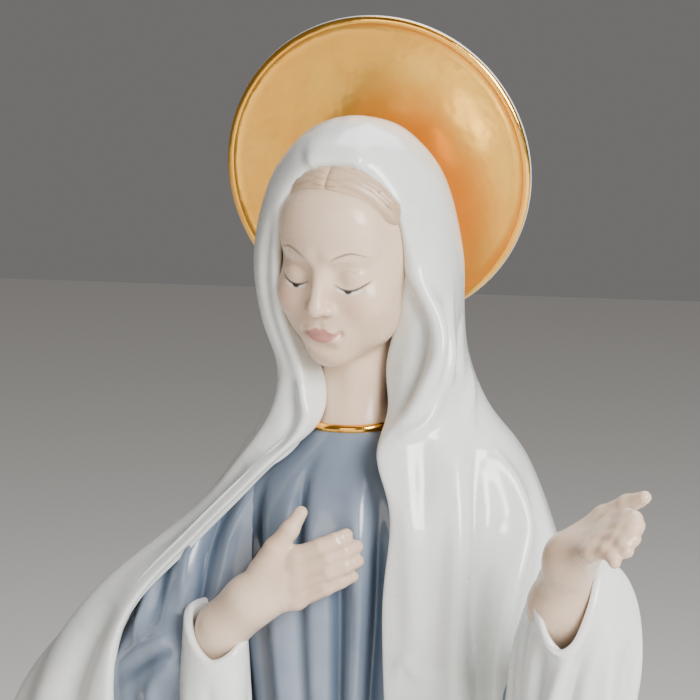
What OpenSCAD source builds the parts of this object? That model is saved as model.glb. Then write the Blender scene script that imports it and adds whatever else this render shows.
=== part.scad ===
// Standing Madonna figurine in glazed slip-cast porcelain: right hand on the heart, left hand held out,
// gilt halo behind the veiled head, on a low cloud.  Units are millimetres, +Z is up, the figure faces -Y
// and its right hand is on the -X side.  The origin is the centre of the flat foot under the base.

/* [Base] */
// Radius of the round plinth under the cloud
plinth_r = 45; // [43:0.5:47]
// Height of the plinth
plinth_h = 9; // [8:0.5:10]
// Radius of the vent hole that lets the kiln gases out of the hollow casting
vent_r = 3; // [2:0.5:4]
// Number of puffs around the rim of the cloud
puffs = 13; // [11:1:15]

/* [Cloth] */
// Wall of the cast gown
gown_t = 2.4; // [2:0.1:2.8]
// Thickness of the veil and of the mantle
cloth_t = 2; // [1.6:0.1:2.2]
// Number of pleats around the skirt
pleats = 14; // [12:1:16]
// Depth of the pleats at the hem
pleat_depth = 2.2; // [1:0.1:2.6]

/* [Head and halo] */
// Radius of the halo disc
halo_r = 26; // [24:0.5:27]
// Thickness of the halo at its rolled rim
halo_t = 1.8; // [1.4:0.1:2]
// How far the halo's face leans down, in degrees
halo_lean = 8; // [5:0.5:10]
// How far the head is bowed, in degrees
head_bow = 15; // [12:0.5:17]
// How far the head turns towards the hand on the heart, in degrees
head_turn = 11; // [8:0.5:13]
// Radius of the gold band around the neckline
band_r = 0.7; // [0.5:0.05:0.8]

/* [Hidden] */

white = [0.93, 0.94, 0.93];
blue = [0.53, 0.58, 0.65];
skin = [0.93, 0.87, 0.81];
gold = [0.85, 0.62, 0.30];

// Heights that several pieces share
cloud_top = 20;
waist_z = 178;
neck_z = 241;

// Centres and axes that several pieces share
head_at = [1, -7, 269];
neck_at = [0, -3, neck_z];
halo_at = [-0.5, 13.5, 280];

cloth_rows = 18;
cloth_cols = 20;

// ---- Curves and surfaces ------------------------------------------------------------------------

// Catmull-Rom point between b and c
function between(a, b, c, d, t) =
    0.5 * (2 * b + (c - a) * t + (2 * a - 5 * b + 4 * c - d) * t * t + (3 * b - a - 3 * c + d) * t * t * t);

// Item i of a list, carried on in a straight line past either end
function item(list, i) =
    i < 0 ? 2 * list[0] - list[1]
    : i > len(list) - 1 ? 2 * list[len(list) - 1] - list[len(list) - 2]
    : list[i];

// Point at u along a smooth curve through a list, where u runs from 0 to the list's last index
function along(list, u) =
    let (i = min(floor(u), len(list) - 2))
    between(item(list, i - 1), item(list, i), item(list, i + 1), item(list, i + 2), u - i);

// n evenly spaced points of that curve
function spread(list, n) = [for (k = [0 : n - 1]) along(list, k * (len(list) - 1) / (n - 1))];

// Rows and columns of a smooth surface through a coarse net of points
function surface_of(net, rows, cols) =
    let (wide = [for (row = net) spread(row, cols)])
    let (tall = [for (c = [0 : cols - 1]) spread([for (row = wide) row[c]], rows)])
    [for (r = [0 : rows - 1]) [for (c = [0 : cols - 1]) tall[c][r]]];

function unit(v) = v / norm(v);

// Normal of a grid of points at row r and column c
function grid_normal(g, r, c) =
    let (rows = len(g), cols = len(g[0]))
    let (across = g[r][min(c + 1, cols - 1)] - g[r][max(c - 1, 0)])
    let (down = g[min(r + 1, rows - 1)][c] - g[max(r - 1, 0)][c])
    unit(cross(across, down));

// The grid moved by d along its normals
function moved(g, d) =
    [for (r = [0 : len(g) - 1]) [for (c = [0 : len(g[0]) - 1]) g[r][c] + d * grid_normal(g, r, c)]];

function flat(rows) = [for (row = rows) for (p = row) p];

// Two triangles on four corners, which follow one another round
function quad(a, b, c, d) = [[a, b, c], [a, c, d]];

// A closed sheet of cloth: the grid is its outer face, and its inner face lies t below
module sheet(g, t) {
    rows = len(g);
    cols = len(g[0]);
    size = rows * cols;
    outer = [for (r = [0 : rows - 2]) for (c = [0 : cols - 2])
        each quad(r * cols + c, r * cols + c + 1, (r + 1) * cols + c + 1, (r + 1) * cols + c)];
    inner = [for (f = outer) [f[2] + size, f[1] + size, f[0] + size]];
    ends = [for (c = [0 : cols - 2]) for (r = [0, rows - 1])
        each r == 0 ? quad(c + 1, c, c + size, c + 1 + size)
        : quad(r * cols + c, r * cols + c + 1, r * cols + c + 1 + size, r * cols + c + size)];
    sides = [for (r = [0 : rows - 2]) for (c = [0, cols - 1])
        each c == 0 ? quad(r * cols, (r + 1) * cols, (r + 1) * cols + size, r * cols + size)
        : quad((r + 1) * cols + c, r * cols + c, r * cols + c + size, (r + 1) * cols + c + size)];
    polyhedron(concat(flat(g), flat(moved(g, t))), concat(outer, inner, ends, sides));
}

// A closed wall between two stacks of rings, which is open at both ends
module wall(outer, inner) {
    rings = len(outer);
    n = len(outer[0]);
    size = rings * n;
    out_faces = [for (r = [0 : rings - 2]) for (c = [0 : n - 1])
        each quad(r * n + c, r * n + (c + 1) % n, (r + 1) * n + (c + 1) % n, (r + 1) * n + c)];
    in_faces = [for (f = out_faces) [f[2] + size, f[1] + size, f[0] + size]];
    top = (rings - 1) * n;
    rims = [for (c = [0 : n - 1]) let (d = (c + 1) % n)
        each concat(quad(d, c, c + size, d + size), quad(top + c, top + d, top + d + size, top + c + size))];
    faces = concat(out_faces, in_faces, rims);
    polyhedron(concat(flat(outer), flat(inner)), [for (f = faces) [f[2], f[1], f[0]]]);
}

// One ring of the gown at a level [z, half width, front depth, back depth, pleat depth], set in by t
function gown_ring(level, t, n) = [for (k = [0 : n - 1])
    let (a = 360 * k / n)
    let (side = level[1] - t)
    let (deep = (sin(a) > 0 ? level[3] : level[2]) - t)
    let (pleat = 1 + level[4] * cos(a * pleats) / (level[1] + level[2]))
    [side * cos(a) * pleat, deep * sin(a) * pleat, level[0]]];

// ---- Base ---------------------------------------------------------------------------------------

module base_plinth() {
    wall_t = 3;
    vent_y = 22;
    edge_r = 2;
    color(white)
    difference() {
        rotate_extrude($fn = 96) difference() {
            union() {
                square([plinth_r - edge_r, plinth_h]);
                translate([0, edge_r]) square([plinth_r, plinth_h - 2 * edge_r]);
                for (z = [edge_r, plinth_h - edge_r]) translate([plinth_r - edge_r, z]) circle(edge_r, $fn = 32);
            }
            translate([0, wall_t]) square([plinth_r - 2 * wall_t, plinth_h - 2 * wall_t]);
        }
        translate([0, vent_y, -1]) cylinder(r = vent_r, h = wall_t + 2, $fn = 48);
    }
}

// Ring of round puffs, flat on top for the figure and flat below for the plinth
module cloud_mound() {
    puff_r = 12.5;
    color(white)
    intersection() {
        union() {
            cylinder(r = plinth_r - 5, h = cloud_top, $fn = 96);
            for (k = [0 : puffs - 1]) rotate(360 * k / puffs)
                translate([plinth_r - 6, 0, plinth_h + 3]) sphere(puff_r - 1.2 * (k % 3), $fn = 64);
        }
        translate([0, 0, plinth_h]) cylinder(r = 2 * plinth_r, h = cloud_top - plinth_h, $fn = 96);
    }
}

// ---- Gown ---------------------------------------------------------------------------------------

skirt_levels = [
    [cloud_top, 33, 29, 26, pleat_depth], [40, 31, 27, 25, pleat_depth], [75, 28, 24.5, 22, 0.9 * pleat_depth],
    [110, 25.5, 21.5, 19, 0.7 * pleat_depth], [150, 21.5, 17.5, 15.5, 0.4 * pleat_depth],
    [waist_z, 17.5, 15, 12.5, 0]
];

module skirt() {
    around = 70;
    levels = spread(skirt_levels, 15);
    color(blue)
    wall([for (l = levels) gown_ring(l, 0, around)], [for (l = levels) gown_ring(l, gown_t, around)]);
}

bodice_levels = [
    [waist_z, 17.5, 15, 12.5, 0], [195, 18.5, 16.5, 12.5, 0], [212, 20.5, 18.5, 12, 0], [224, 21, 18, 12, 0],
    [232, 18, 15.5, 11, 0], [238, 11.5, 12.5, 7, 0], [neck_z - 0.5, 8.8, 11.2, 5.6, 0]
];

module bodice() {
    levels = spread(bodice_levels, 13);
    color(blue)
    wall([for (l = levels) gown_ring(l, 0, 44)], [for (l = levels) gown_ring(l, gown_t, 44)]);
}

module neckline_band() {
    color(gold)
    translate(neck_at) rotate([6, 0, 0])
    rotate_extrude($fn = 72) translate([8.4, 0]) circle(band_r, $fn = 24);
}

// ---- Head ---------------------------------------------------------------------------------------

// Places a piece in the head's own frame: centre of the skull, face towards -Y
module on_head() translate(head_at) rotate([0, 4, -head_turn]) rotate([head_bow, 0, 0]) children();

// Skull, jaw, chin and nose
module head() {
    skull_r = 11.3;
    color(skin) {
        on_head() union() {
            hull() {
                translate([0, 2, 5]) sphere(skull_r, $fn = 28);
                translate([0, -3, 2]) sphere(skull_r - 1, $fn = 28);
                for (side = [-1, 1]) translate([3.4 * side, -4.5, -8.5]) sphere(4.6, $fn = 16);
                translate([0, -8.5, -12.4]) sphere(3.2, $fn = 16);
            }
            hull() {
                translate([0, -12.4, 1]) sphere(0.8, $fn = 12);
                translate([0, -14.4, -3.6]) sphere(1.1, $fn = 12);
            }
        }
        neck();
    }
}

// Neck, which flares into a spigot under the neckline
module neck() {
    spigot_r = 5.8;
    translate([neck_at[0], neck_at[1], neck_z - 7]) cylinder(r = spigot_r, h = 7, $fn = 48);
    hull() {
        translate([neck_at[0], neck_at[1], neck_z - 0.2]) cylinder(r = 7, h = 0.4, $fn = 32);
        translate([0.5, -3.5, neck_z + 5]) sphere(5.2, $fn = 24);
    }
    hull() {
        translate([0.5, -3.5, neck_z + 5]) sphere(5.2, $fn = 24);
        translate([1, -5, neck_z + 18]) sphere(5, $fn = 24);
    }
}

// Locks of hair parted over the forehead, which show under the edge of the veil
module hair_front() {
    lock_r = 1.5;
    arc = [for (a = [0 : 20 : 180]) [10.6 * cos(a), -9.6 - 1.6 * sin(a), 5.2 + 8.6 * sin(a)]];
    color([0.82, 0.72, 0.62])
    on_head() for (k = [0 : len(arc) - 2]) hull() {
        translate(arc[k]) sphere(lock_r, $fn = 12);
        translate(arc[k + 1]) sphere(lock_r, $fn = 12);
    }
}

// ---- Veil and mantle ----------------------------------------------------------------------------

// Arches over the head, from the edge round the face to the back of the head
hood_net = [
    [[-9, -14.5, 237], [-11, -12, 246], [-13, -12.5, 256], [-12.6, -14.5, 268], [-9, -17.5, 278],
        [0, -18, 284.5], [9.5, -16.5, 279], [13, -14.5, 268], [14, -14, 258], [15.5, -15.5, 249], [12, -16.5, 242]],
    [[-15, -12, 235], [-15, -9, 246], [-16, -8, 257], [-16, -9, 268], [-12.5, -11, 280],
        [0.5, -10, 289.5], [12.5, -10, 280.5], [16, -8, 269], [17.2, -8, 257], [19, -10, 247], [20, -13, 238]],
    [[-22, -4, 236], [-17, -2, 247], [-17, -1, 258], [-16.5, -1, 269], [-12.5, -2, 281.5],
        [0.5, -2, 290.5], [13, -2, 282], [17, -1, 270], [18, 0, 258], [20, 0, 247], [26, -3, 237]],
    [[-21, 5, 238], [-16.5, 6, 248], [-15, 6.5, 258], [-14, 7, 269], [-10, 7, 280],
        [0.5, 6, 286], [11, 7, 280.5], [15, 7, 269], [16.5, 7, 258], [18.5, 7, 248], [24, 5, 239]],
    [[-14, 11, 240], [-10, 12, 250], [-8.5, 12, 260], [-7, 11.5, 268], [-4, 10, 275],
        [0.5, 9.5, 278], [5, 10, 275], [8, 11.5, 268], [9.5, 12, 260], [11, 12.5, 250], [15, 11.5, 241]]
];

module veil_hood() color(white) sheet(surface_of(hood_net, 13, 30), cloth_t);

// Levels of the back panel, from the back of the head to the hem
back_net = [
    [[-3.5, 10.6, 274], [0.5, 10.8, 275], [4.5, 10.6, 274]],
    [[-8, 12.4, 260], [0.5, 14, 260], [9, 12.4, 260]],
    [[-12.5, 12, 246], [0.5, 14.5, 247], [13.5, 12.4, 246]],
    [[-25, 8, 232], [0.5, 16, 234], [28, 8, 232]],
    [[-31, 10, 205], [0, 18, 206], [32, 10, 205]],
    [[-35, 14, 165], [0, 22, 165], [36, 14, 165]],
    [[-38, 17, 120], [0, 25.5, 120], [38, 17, 120]],
    [[-40, 19, 75], [0, 28.5, 75], [40, 19, 75]],
    [[-41, 21, 28], [0, 31, 26], [41, 21, 28]]
];

module mantle_back() color(white) sheet(surface_of(turned(back_net), cloth_rows, cloth_cols), cloth_t);

// The same net with each row run the other way, which turns its face over
function turned(net) = [for (row = net) [for (c = [len(row) - 1 : -1 : 0]) row[c]]];

// Front edge, crest over the raised arm and rear seam of the wing, from the shoulder to the hem
wing_net = [
    [[-12, -15.5, 234.5], [-20, -11, 234.5], [-26, -2, 234], [-25.6, 6, 233]],
    [[-24, -17, 222.5], [-32, -11, 222.5], [-35, -2, 220], [-30.5, 9, 218]],
    [[-35, -18, 209], [-42, -12, 210], [-47, -3, 207], [-33, 11, 203]],
    [[-38.5, -18.5, 194], [-50, -13, 195], [-59.5, -4, 191], [-36, 12.5, 185]],
    [[-36, -18, 174], [-52, -14, 172], [-64, -4, 168], [-37.5, 14.5, 164]],
    [[-31, -16.5, 140], [-48, -17, 136], [-60.5, -5, 132], [-39.5, 17, 128]],
    [[-32, -18, 100], [-44, -19, 96], [-54, -5, 92], [-41, 19.5, 88]],
    [[-33, -21, 56], [-42, -20, 52], [-50, -4, 48], [-42, 21.5, 44]]
];

module mantle_right_wing() color(white) sheet(surface_of(wing_net, cloth_rows, cloth_cols), cloth_t);

// Front edge, middle, outer side and rear seam of the fall over the left arm, from the shoulder to the hem
fall_net = [
    [[8.5, -16, 239.5], [18, -15, 238], [27, -4, 235], [28.6, 6, 233]],
    [[11, -20.5, 226], [24, -18.5, 225], [33, -5, 221], [32.5, 9, 217]],
    [[10.5, -20.5, 208], [25, -19, 207], [36.5, -6, 202], [33.5, 11, 200]],
    [[12, -19.5, 178], [27, -18.5, 177], [40, -5, 171], [36.5, 14, 168]],
    [[14, -22, 140], [30, -21, 138], [43, -5, 132], [39, 17, 130]],
    [[16.5, -26, 98], [33, -23.5, 95], [45, -5, 90], [41.5, 19.5, 88]],
    [[19, -30, 52], [35, -26, 49], [46, -5, 44], [43, 21.5, 42]]
];

module mantle_left_front() color(white) sheet(surface_of(turned(fall_net), cloth_rows, cloth_cols), cloth_t);

// ---- Arms ---------------------------------------------------------------------------------------

// Round limbs between joints given as [position, radius]
module chain(joints, facets) {
    for (k = [0 : len(joints) - 2]) hull() {
        translate(joints[k][0]) sphere(joints[k][1], $fn = facets);
        translate(joints[k + 1][0]) sphere(joints[k + 1][1], $fn = facets);
    }
}

// Rings of a tube that widens from one end to a hanging mouth
function bell_ring(at, wide, tall, axis, n) =
    let (side = unit(cross(axis, [0, 0, 1])), up = cross(side, unit(axis)))
    [for (k = [0 : n - 1]) at + wide * cos(360 * k / n) * side + tall * sin(360 * k / n) * up];

// A bell cuff along a list of [centre, half width, half height]
module bell(stations, axis, t) {
    n = 28;
    steps = spread([for (s = stations) [s[0][0], s[0][1], s[0][2], s[1], s[2]]], 7);
    wall([for (s = steps) bell_ring([s[0], s[1], s[2]], s[3], s[4], axis, n)],
        [for (s = steps) bell_ring([s[0], s[1], s[2]], s[3] - t, s[4] - t, axis, n)]);
}

module right_sleeve()
    color(blue)
    chain([[[-26, -6, 222], 6], [[-33, -9, 206], 6.5], [[-36, -13, 192], 7.5], [[-32, -17.5, 192], 7.5]], 20);

module right_cuff()
    color(white)
    bell([[[-31, -19, 193.5], 5, 9], [[-26, -21, 197.5], 6, 10.5], [[-20.5, -23.5, 201.5], 7, 12.5]],
        [0.78, -0.32, 0.54], 1.6);

module right_hand()
    color(skin)
    union() {
        chain([[[-27, -20, 199.5], 3.4], [[-18, -23, 207], 3.2], [[-12, -24.5, 213], 3.1]], 14);
        hull() {
            translate([-12, -24.5, 213]) sphere(3.1, $fn = 14);
            translate([-6, -24.5, 220.5]) sphere(2.6, $fn = 14);
            translate([-0.5, -24.5, 223.5]) sphere(2.1, $fn = 14);
            translate([-3, -24, 215.5]) sphere(2.1, $fn = 14);
        }
        chain([[[-0.5, -25, 223.8], 1.7], [[2.5, -25, 225.6], 1.5], [[4.8, -23.6, 226], 1.2]], 12);
        chain([[[-0.2, -25, 221.4], 1.7], [[3.2, -25, 222.8], 1.5], [[6.2, -23.4, 222.8], 1.2]], 12);
        chain([[[-1, -24.6, 218.8], 1.6], [[2.8, -24.6, 219.8], 1.45], [[5.8, -23.2, 219.9], 1.15]], 12);
        chain([[[-2.4, -24.2, 216.2], 1.5], [[1.2, -24.2, 216.9], 1.35], [[4, -23, 217], 1.05]], 12);
        chain([[[-9, -25, 218.5], 2.1], [[-6, -26, 224.5], 1.8], [[-3, -26, 229.3], 1.2]], 12);
    }

module left_sleeve()
    color(blue)
    chain([[[27, -6, 218], 6], [[30, -10, 204], 6.5], [[33, -15, 195], 7], [[35.5, -21, 198], 7]], 20);

module left_cuff()
    color(white)
    bell([[[36.5, -24, 199.5], 5.5, 8], [[39.5, -30, 203], 7, 10.5], [[43.5, -37, 208], 9, 14]],
        [0.42, -0.78, 0.46], 1.6);

module left_hand()
    color(skin)
    union() {
        chain([[[36, -26, 203.5], 3.6], [[41, -37, 216], 3.2], [[44.5, -44.5, 226], 2.9]], 14);
        hull() {
            translate([44.5, -44.5, 226]) sphere(2.9, $fn = 14);
            translate([47, -50, 232.5]) sphere(2.1, $fn = 14);
            translate([51.5, -49.5, 231.5]) sphere(2.1, $fn = 14);
            translate([52, -47, 228]) sphere(1.9, $fn = 14);
        }
        chain([[[49, -51, 233], 1.7], [[52.6, -54, 236.4], 1.5], [[56.5, -56, 238.8], 1.2]], 12);
        chain([[[50.6, -50.4, 231.8], 1.7], [[55, -53, 234.6], 1.5], [[58.8, -54.8, 237], 1.2]], 12);
        chain([[[51.8, -49, 230.2], 1.6], [[56, -51, 232.4], 1.45], [[59.2, -52.6, 234.4], 1.15]], 12);
        chain([[[52.2, -47.4, 228.4], 1.5], [[55.6, -49, 229.8], 1.35], [[58.2, -50.4, 231.4], 1.05]], 12);
        chain([[[45.6, -47.4, 230.5], 2], [[47.4, -51, 235], 1.7], [[50.2, -53.6, 238.4], 1.2]], 12);
    }

// ---- Halo ---------------------------------------------------------------------------------------

// Places a piece in the halo's own frame: centre of the disc, gilt face towards +Z
module on_halo() translate(halo_at) rotate([90 + halo_lean, 0, 0]) children();

// Slightly dished white disc, gilt on its front face
module halo_disc()
    color(gold)
    on_halo() rotate_extrude($fn = 128) polygon([
        [0, -0.9], [0.6 * halo_r, -0.9], [halo_r - 0.9, -0.5], [halo_r - 0.9, 0.7], [0.6 * halo_r, 0.3], [0, 0.3]
    ]);

// Rolled rim round the disc
module halo_rim()
    color(white)
    on_halo() rotate_extrude($fn = 128) translate([halo_r - halo_t / 2, 0]) circle(halo_t / 2, $fn = 32);

// Lug that joins the back of the veil to the halo
module halo_peg()
    color(white)
    translate([halo_at[0] + 1, 11.5, 262]) rotate([-90, 0, 0]) cylinder(r = 3, h = 3.2, $fn = 48);

base_plinth();
cloud_mound();
skirt();
bodice();
neckline_band();
head();
hair_front();
veil_hood();
mantle_back();
mantle_right_wing();
mantle_left_front();
right_sleeve();
right_cuff();
right_hand();
left_sleeve();
left_cuff();
left_hand();
halo_disc();
halo_rim();
halo_peg();
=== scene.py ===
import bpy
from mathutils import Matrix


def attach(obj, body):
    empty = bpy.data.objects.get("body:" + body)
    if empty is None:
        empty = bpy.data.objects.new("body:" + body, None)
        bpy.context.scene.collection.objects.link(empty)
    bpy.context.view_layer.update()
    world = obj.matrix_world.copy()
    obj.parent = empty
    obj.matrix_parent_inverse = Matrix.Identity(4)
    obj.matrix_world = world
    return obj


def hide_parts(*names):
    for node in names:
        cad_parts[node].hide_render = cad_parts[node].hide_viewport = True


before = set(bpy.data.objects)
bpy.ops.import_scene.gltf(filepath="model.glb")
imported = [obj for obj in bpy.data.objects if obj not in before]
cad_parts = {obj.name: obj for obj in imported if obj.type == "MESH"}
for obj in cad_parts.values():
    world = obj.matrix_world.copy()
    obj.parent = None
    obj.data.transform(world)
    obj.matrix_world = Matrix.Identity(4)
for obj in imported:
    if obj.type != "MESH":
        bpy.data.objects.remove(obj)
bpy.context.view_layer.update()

import copy
import math

import bpy
import numpy as np
from mathutils import Vector

MM = 0.001


# ---- Curves and grids ---------------------------------------------------------------------------

def between(a, b, c, d, t):
    """The Catmull-Rom curve from b to c, with the neighbours a and d."""
    return 0.5 * (2 * b + (c - a) * t + (2 * a - 5 * b + 4 * c - d) * t ** 2
                  + (3 * b - a - 3 * c + d) * t ** 3)


def spread(points, count):
    """Points at even steps along a smooth curve through the given points, over the first axis."""
    p = np.asarray(points, dtype=float)
    ends = np.concatenate([[2 * p[0] - p[1]], p, [2 * p[-1] - p[-2]]])
    u = np.linspace(0, len(p) - 1, count)
    i = np.minimum(u.astype(int), len(p) - 2)
    t = (u - i).reshape((-1,) + (1,) * (p.ndim - 1))
    return between(ends[i], ends[i + 1], ends[i + 2], ends[i + 3], t)


def surface_of(net, rows, cols):
    """A smooth grid of points through a coarse net of rows and columns."""
    return spread(spread(net, rows).transpose(1, 0, 2), cols).transpose(1, 0, 2)


def blurred(grid, passes, closed=False):
    """The grid smoothed along both axes, with its open borders held."""
    g = grid.copy()
    for _ in range(passes):
        g[1:-1] = 0.25 * g[:-2] + 0.5 * g[1:-1] + 0.25 * g[2:]
        if closed:
            g = 0.25 * np.roll(g, 1, axis=1) + 0.5 * g + 0.25 * np.roll(g, -1, axis=1)
        else:
            g[:, 1:-1] = 0.25 * g[:, :-2] + 0.5 * g[:, 1:-1] + 0.25 * g[:, 2:]
    return g


def unit(v):
    """Vectors of length one."""
    return v / np.maximum(np.linalg.norm(v, axis=-1, keepdims=True), 1e-9)


def grid_normals(grid, closed=False):
    """Normals of a grid of points: across the columns, then down the rows."""
    if closed:
        across = np.roll(grid, -1, axis=1) - np.roll(grid, 1, axis=1)
    else:
        across = np.gradient(grid, axis=1)
    down = np.gradient(grid, axis=0)
    return unit(np.cross(across, down))


def edge_distance(grid, closed=False):
    """Distance along the grid's lines from each point to the nearest border, in mm."""
    rows, cols = grid.shape[:2]
    down = np.linalg.norm(np.diff(grid, axis=0), axis=-1)
    top = np.concatenate([np.zeros((1, cols)), np.cumsum(down, axis=0)])
    nearest = np.minimum(top, top[-1] - top)
    if not closed:
        over = np.linalg.norm(np.diff(grid, axis=1), axis=-1)
        left = np.concatenate([np.zeros((rows, 1)), np.cumsum(over, axis=1)], axis=1)
        nearest = np.minimum(nearest, np.minimum(left, left[:, -1:] - left))
    return nearest


def fold_height(points, marks):
    """Height at each point of soft folds drawn along lines in space.

    A mark is (height, width, [(x, y, z), ...]) in mm. Its line is laid on the surface through the
    nearest points, and the height tapers off at both ends.
    """
    flat = points.reshape(-1, 3)
    total = np.zeros(len(flat))
    for height, width, line in marks:
        laid = [flat[np.argmin(((flat - np.array(q)) ** 2).sum(axis=1))] for q in line]
        path = spread(laid, 20)
        reach = 3.2 * width
        inside = (flat > path.min(axis=0) - reach) & (flat < path.max(axis=0) + reach)
        near = np.flatnonzero(inside.all(axis=1))
        q = flat[near]
        best = np.full(len(q), 1e9)
        where = np.zeros(len(q))
        for k in range(len(path) - 1):
            a, ab = path[k], path[k + 1] - path[k]
            t = np.clip(((q - a) @ ab) / max(ab @ ab, 1e-9), 0, 1)
            d = np.linalg.norm(q - a - t[:, None] * ab, axis=-1)
            closer = d < best
            best = np.where(closer, d, best)
            where = np.where(closer, (k + t) / (len(path) - 1), where)
        taper = np.sin(math.pi * np.clip(where, 0.02, 0.98)) ** 0.6
        total[near] += height * taper * np.exp(-(best / width) ** 2)
    return total.reshape(points.shape[:-1])


def hanging_folds(grid, levels, folds, ramp, closed=False):
    """Height of long folds that run down a sheet.

    A fold is (share of the sheet's width at each of the levels, height where it starts, how far it
    stands out, half width at the first row), and it reaches its full depth over the ramp.
    """
    ring = np.concatenate([grid, grid[:, :1]], axis=1) if closed else grid
    steps = np.linalg.norm(np.diff(ring, axis=1), axis=-1)
    along = np.concatenate([np.zeros((len(grid), 1)), np.cumsum(steps, axis=1)], axis=1)
    width = along[:, -1:]
    along = along[:, :grid.shape[1]]
    level = grid[..., 2].mean(axis=1, keepdims=True)
    narrow = width / width.max()
    total = np.zeros(grid.shape[:2])
    for *shares, top, height, half in folds:
        gap = np.abs(along - np.interp(level, levels, shares) * width)
        if closed:
            gap = np.minimum(gap, width - gap)
        total += height * soft(top - level, 0, ramp) * np.exp(-(gap / (half * narrow)) ** 2)
    return total


def soft(x, low, high):
    """A smooth step from 0 at low to 1 at high."""
    t = np.clip((x - low) / (high - low), 0, 1)
    return t * t * (3 - 2 * t)


# ---- Meshes -------------------------------------------------------------------------------------

def added(name, data):
    """A new object in the scene."""
    obj = bpy.data.objects.new(name, data)
    bpy.context.scene.collection.objects.link(obj)
    return obj


def new_piece(name, verts, faces, stands_for, material, pool_and_shade=None, paint=None):
    """A smooth mesh object from points in mm, tied to the frame.

    The pooling mask is how deep the glaze lies at each point, and it also lays painted shade in valleys
    and creases; paint holds the masks of a material that takes others instead.
    """
    paint = {"pool_and_shade": np.zeros(len(verts)) if pool_and_shade is None else pool_and_shade} if paint is None else paint
    mesh = bpy.data.meshes.new(name)
    faces = np.asarray(faces, dtype=np.int32)
    mesh.vertices.add(len(verts))
    mesh.vertices.foreach_set("co", (np.asarray(verts, dtype=float) * MM).ravel())
    mesh.loops.add(faces.size)
    mesh.loops.foreach_set("vertex_index", faces.ravel())
    mesh.polygons.add(len(faces))
    side = faces.shape[1]
    mesh.polygons.foreach_set("loop_start", np.arange(0, faces.size, side, dtype=np.int32))
    mesh.polygons.foreach_set("use_smooth", np.ones(len(faces), dtype=bool))
    mesh.update()
    mesh.validate()
    for label, values in paint.items():
        layer = mesh.attributes.new(label, "FLOAT", "POINT")
        layer.data.foreach_set("value", np.asarray(values, dtype=float).ravel())
    mesh.materials.append(material)
    piece = added(name, mesh)
    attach(piece, "root")
    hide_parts(*stands_for)


def grid_faces(rows, cols, closed=False):
    """Quads over a grid, whose normals follow grid_normals."""
    r = np.arange(rows - 1)[:, None]
    c = np.arange(cols if closed else cols - 1)[None, :]
    d = (c + 1) % cols
    quads = np.stack([r * cols + c, r * cols + d, (r + 1) * cols + d, (r + 1) * cols + c], axis=-1)
    return quads.reshape(-1, 4)


def thick_sheet(grid, thickness, roll, closed=False, flat_rows=False):
    """Points and faces of a sheet with rolled borders, which has the grid as its outer face.

    With flat_rows the borders stay square, to meet another piece.
    """
    rows, cols = grid.shape[:2]
    n = grid_normals(grid, closed)
    d = edge_distance(grid, closed)
    if flat_rows:
        d = np.full((rows, cols), roll)
    swell = np.sqrt(np.clip(1 - (1 - np.clip(d / roll, 0, 1)) ** 2, 0, 1))
    half = 0.5 * thickness * swell[..., None]
    middle = grid - 0.5 * thickness * n
    outer = middle + half * n
    inner = middle - half * n
    count = rows * cols
    faces = grid_faces(rows, cols, closed)
    back = faces[:, ::-1] + count
    rims = []
    across = np.arange(cols if closed else cols - 1)
    for row, forwards in ((0, 1), (rows - 1, 0)):
        a = row * cols + across
        b = row * cols + (across + 1) % cols
        rim = np.stack([b, a, a + count, b + count], axis=-1)
        rims.append(rim if forwards else rim[:, ::-1])
    if not closed:
        down = np.arange(rows - 1)
        for col, forwards in ((0, 0), (cols - 1, 1)):
            a = down * cols + col
            b = (down + 1) * cols + col
            rim = np.stack([b, a, a + count, b + count], axis=-1)
            rims.append(rim if forwards else rim[:, ::-1])
    verts = np.concatenate([outer.reshape(-1, 3), inner.reshape(-1, 3)])
    return verts, np.concatenate([faces, back] + rims)


def folded_sheet(grid, height, full_pool_and_shade, thickness, roll, closed=False, flat_rows=False):
    """A thick sheet with folds of the given height, with the glaze pooled in its valleys and painted shade
    laid there too.
    """
    grid = grid + height[..., None] * grid_normals(grid, closed)
    verts, faces = thick_sheet(grid, thickness, roll, closed, flat_rows)
    # Painted shade: the deeper a valley, the more of the darker glaze colour it takes, for pooled glaze
    # and for the shade that lies there.
    return verts, faces, np.tile(np.clip(-height / full_pool_and_shade, 0, 1).ravel(), 2)


# ---- Solid shapes as distance fields ------------------------------------------------------------

FAR = 99


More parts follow.
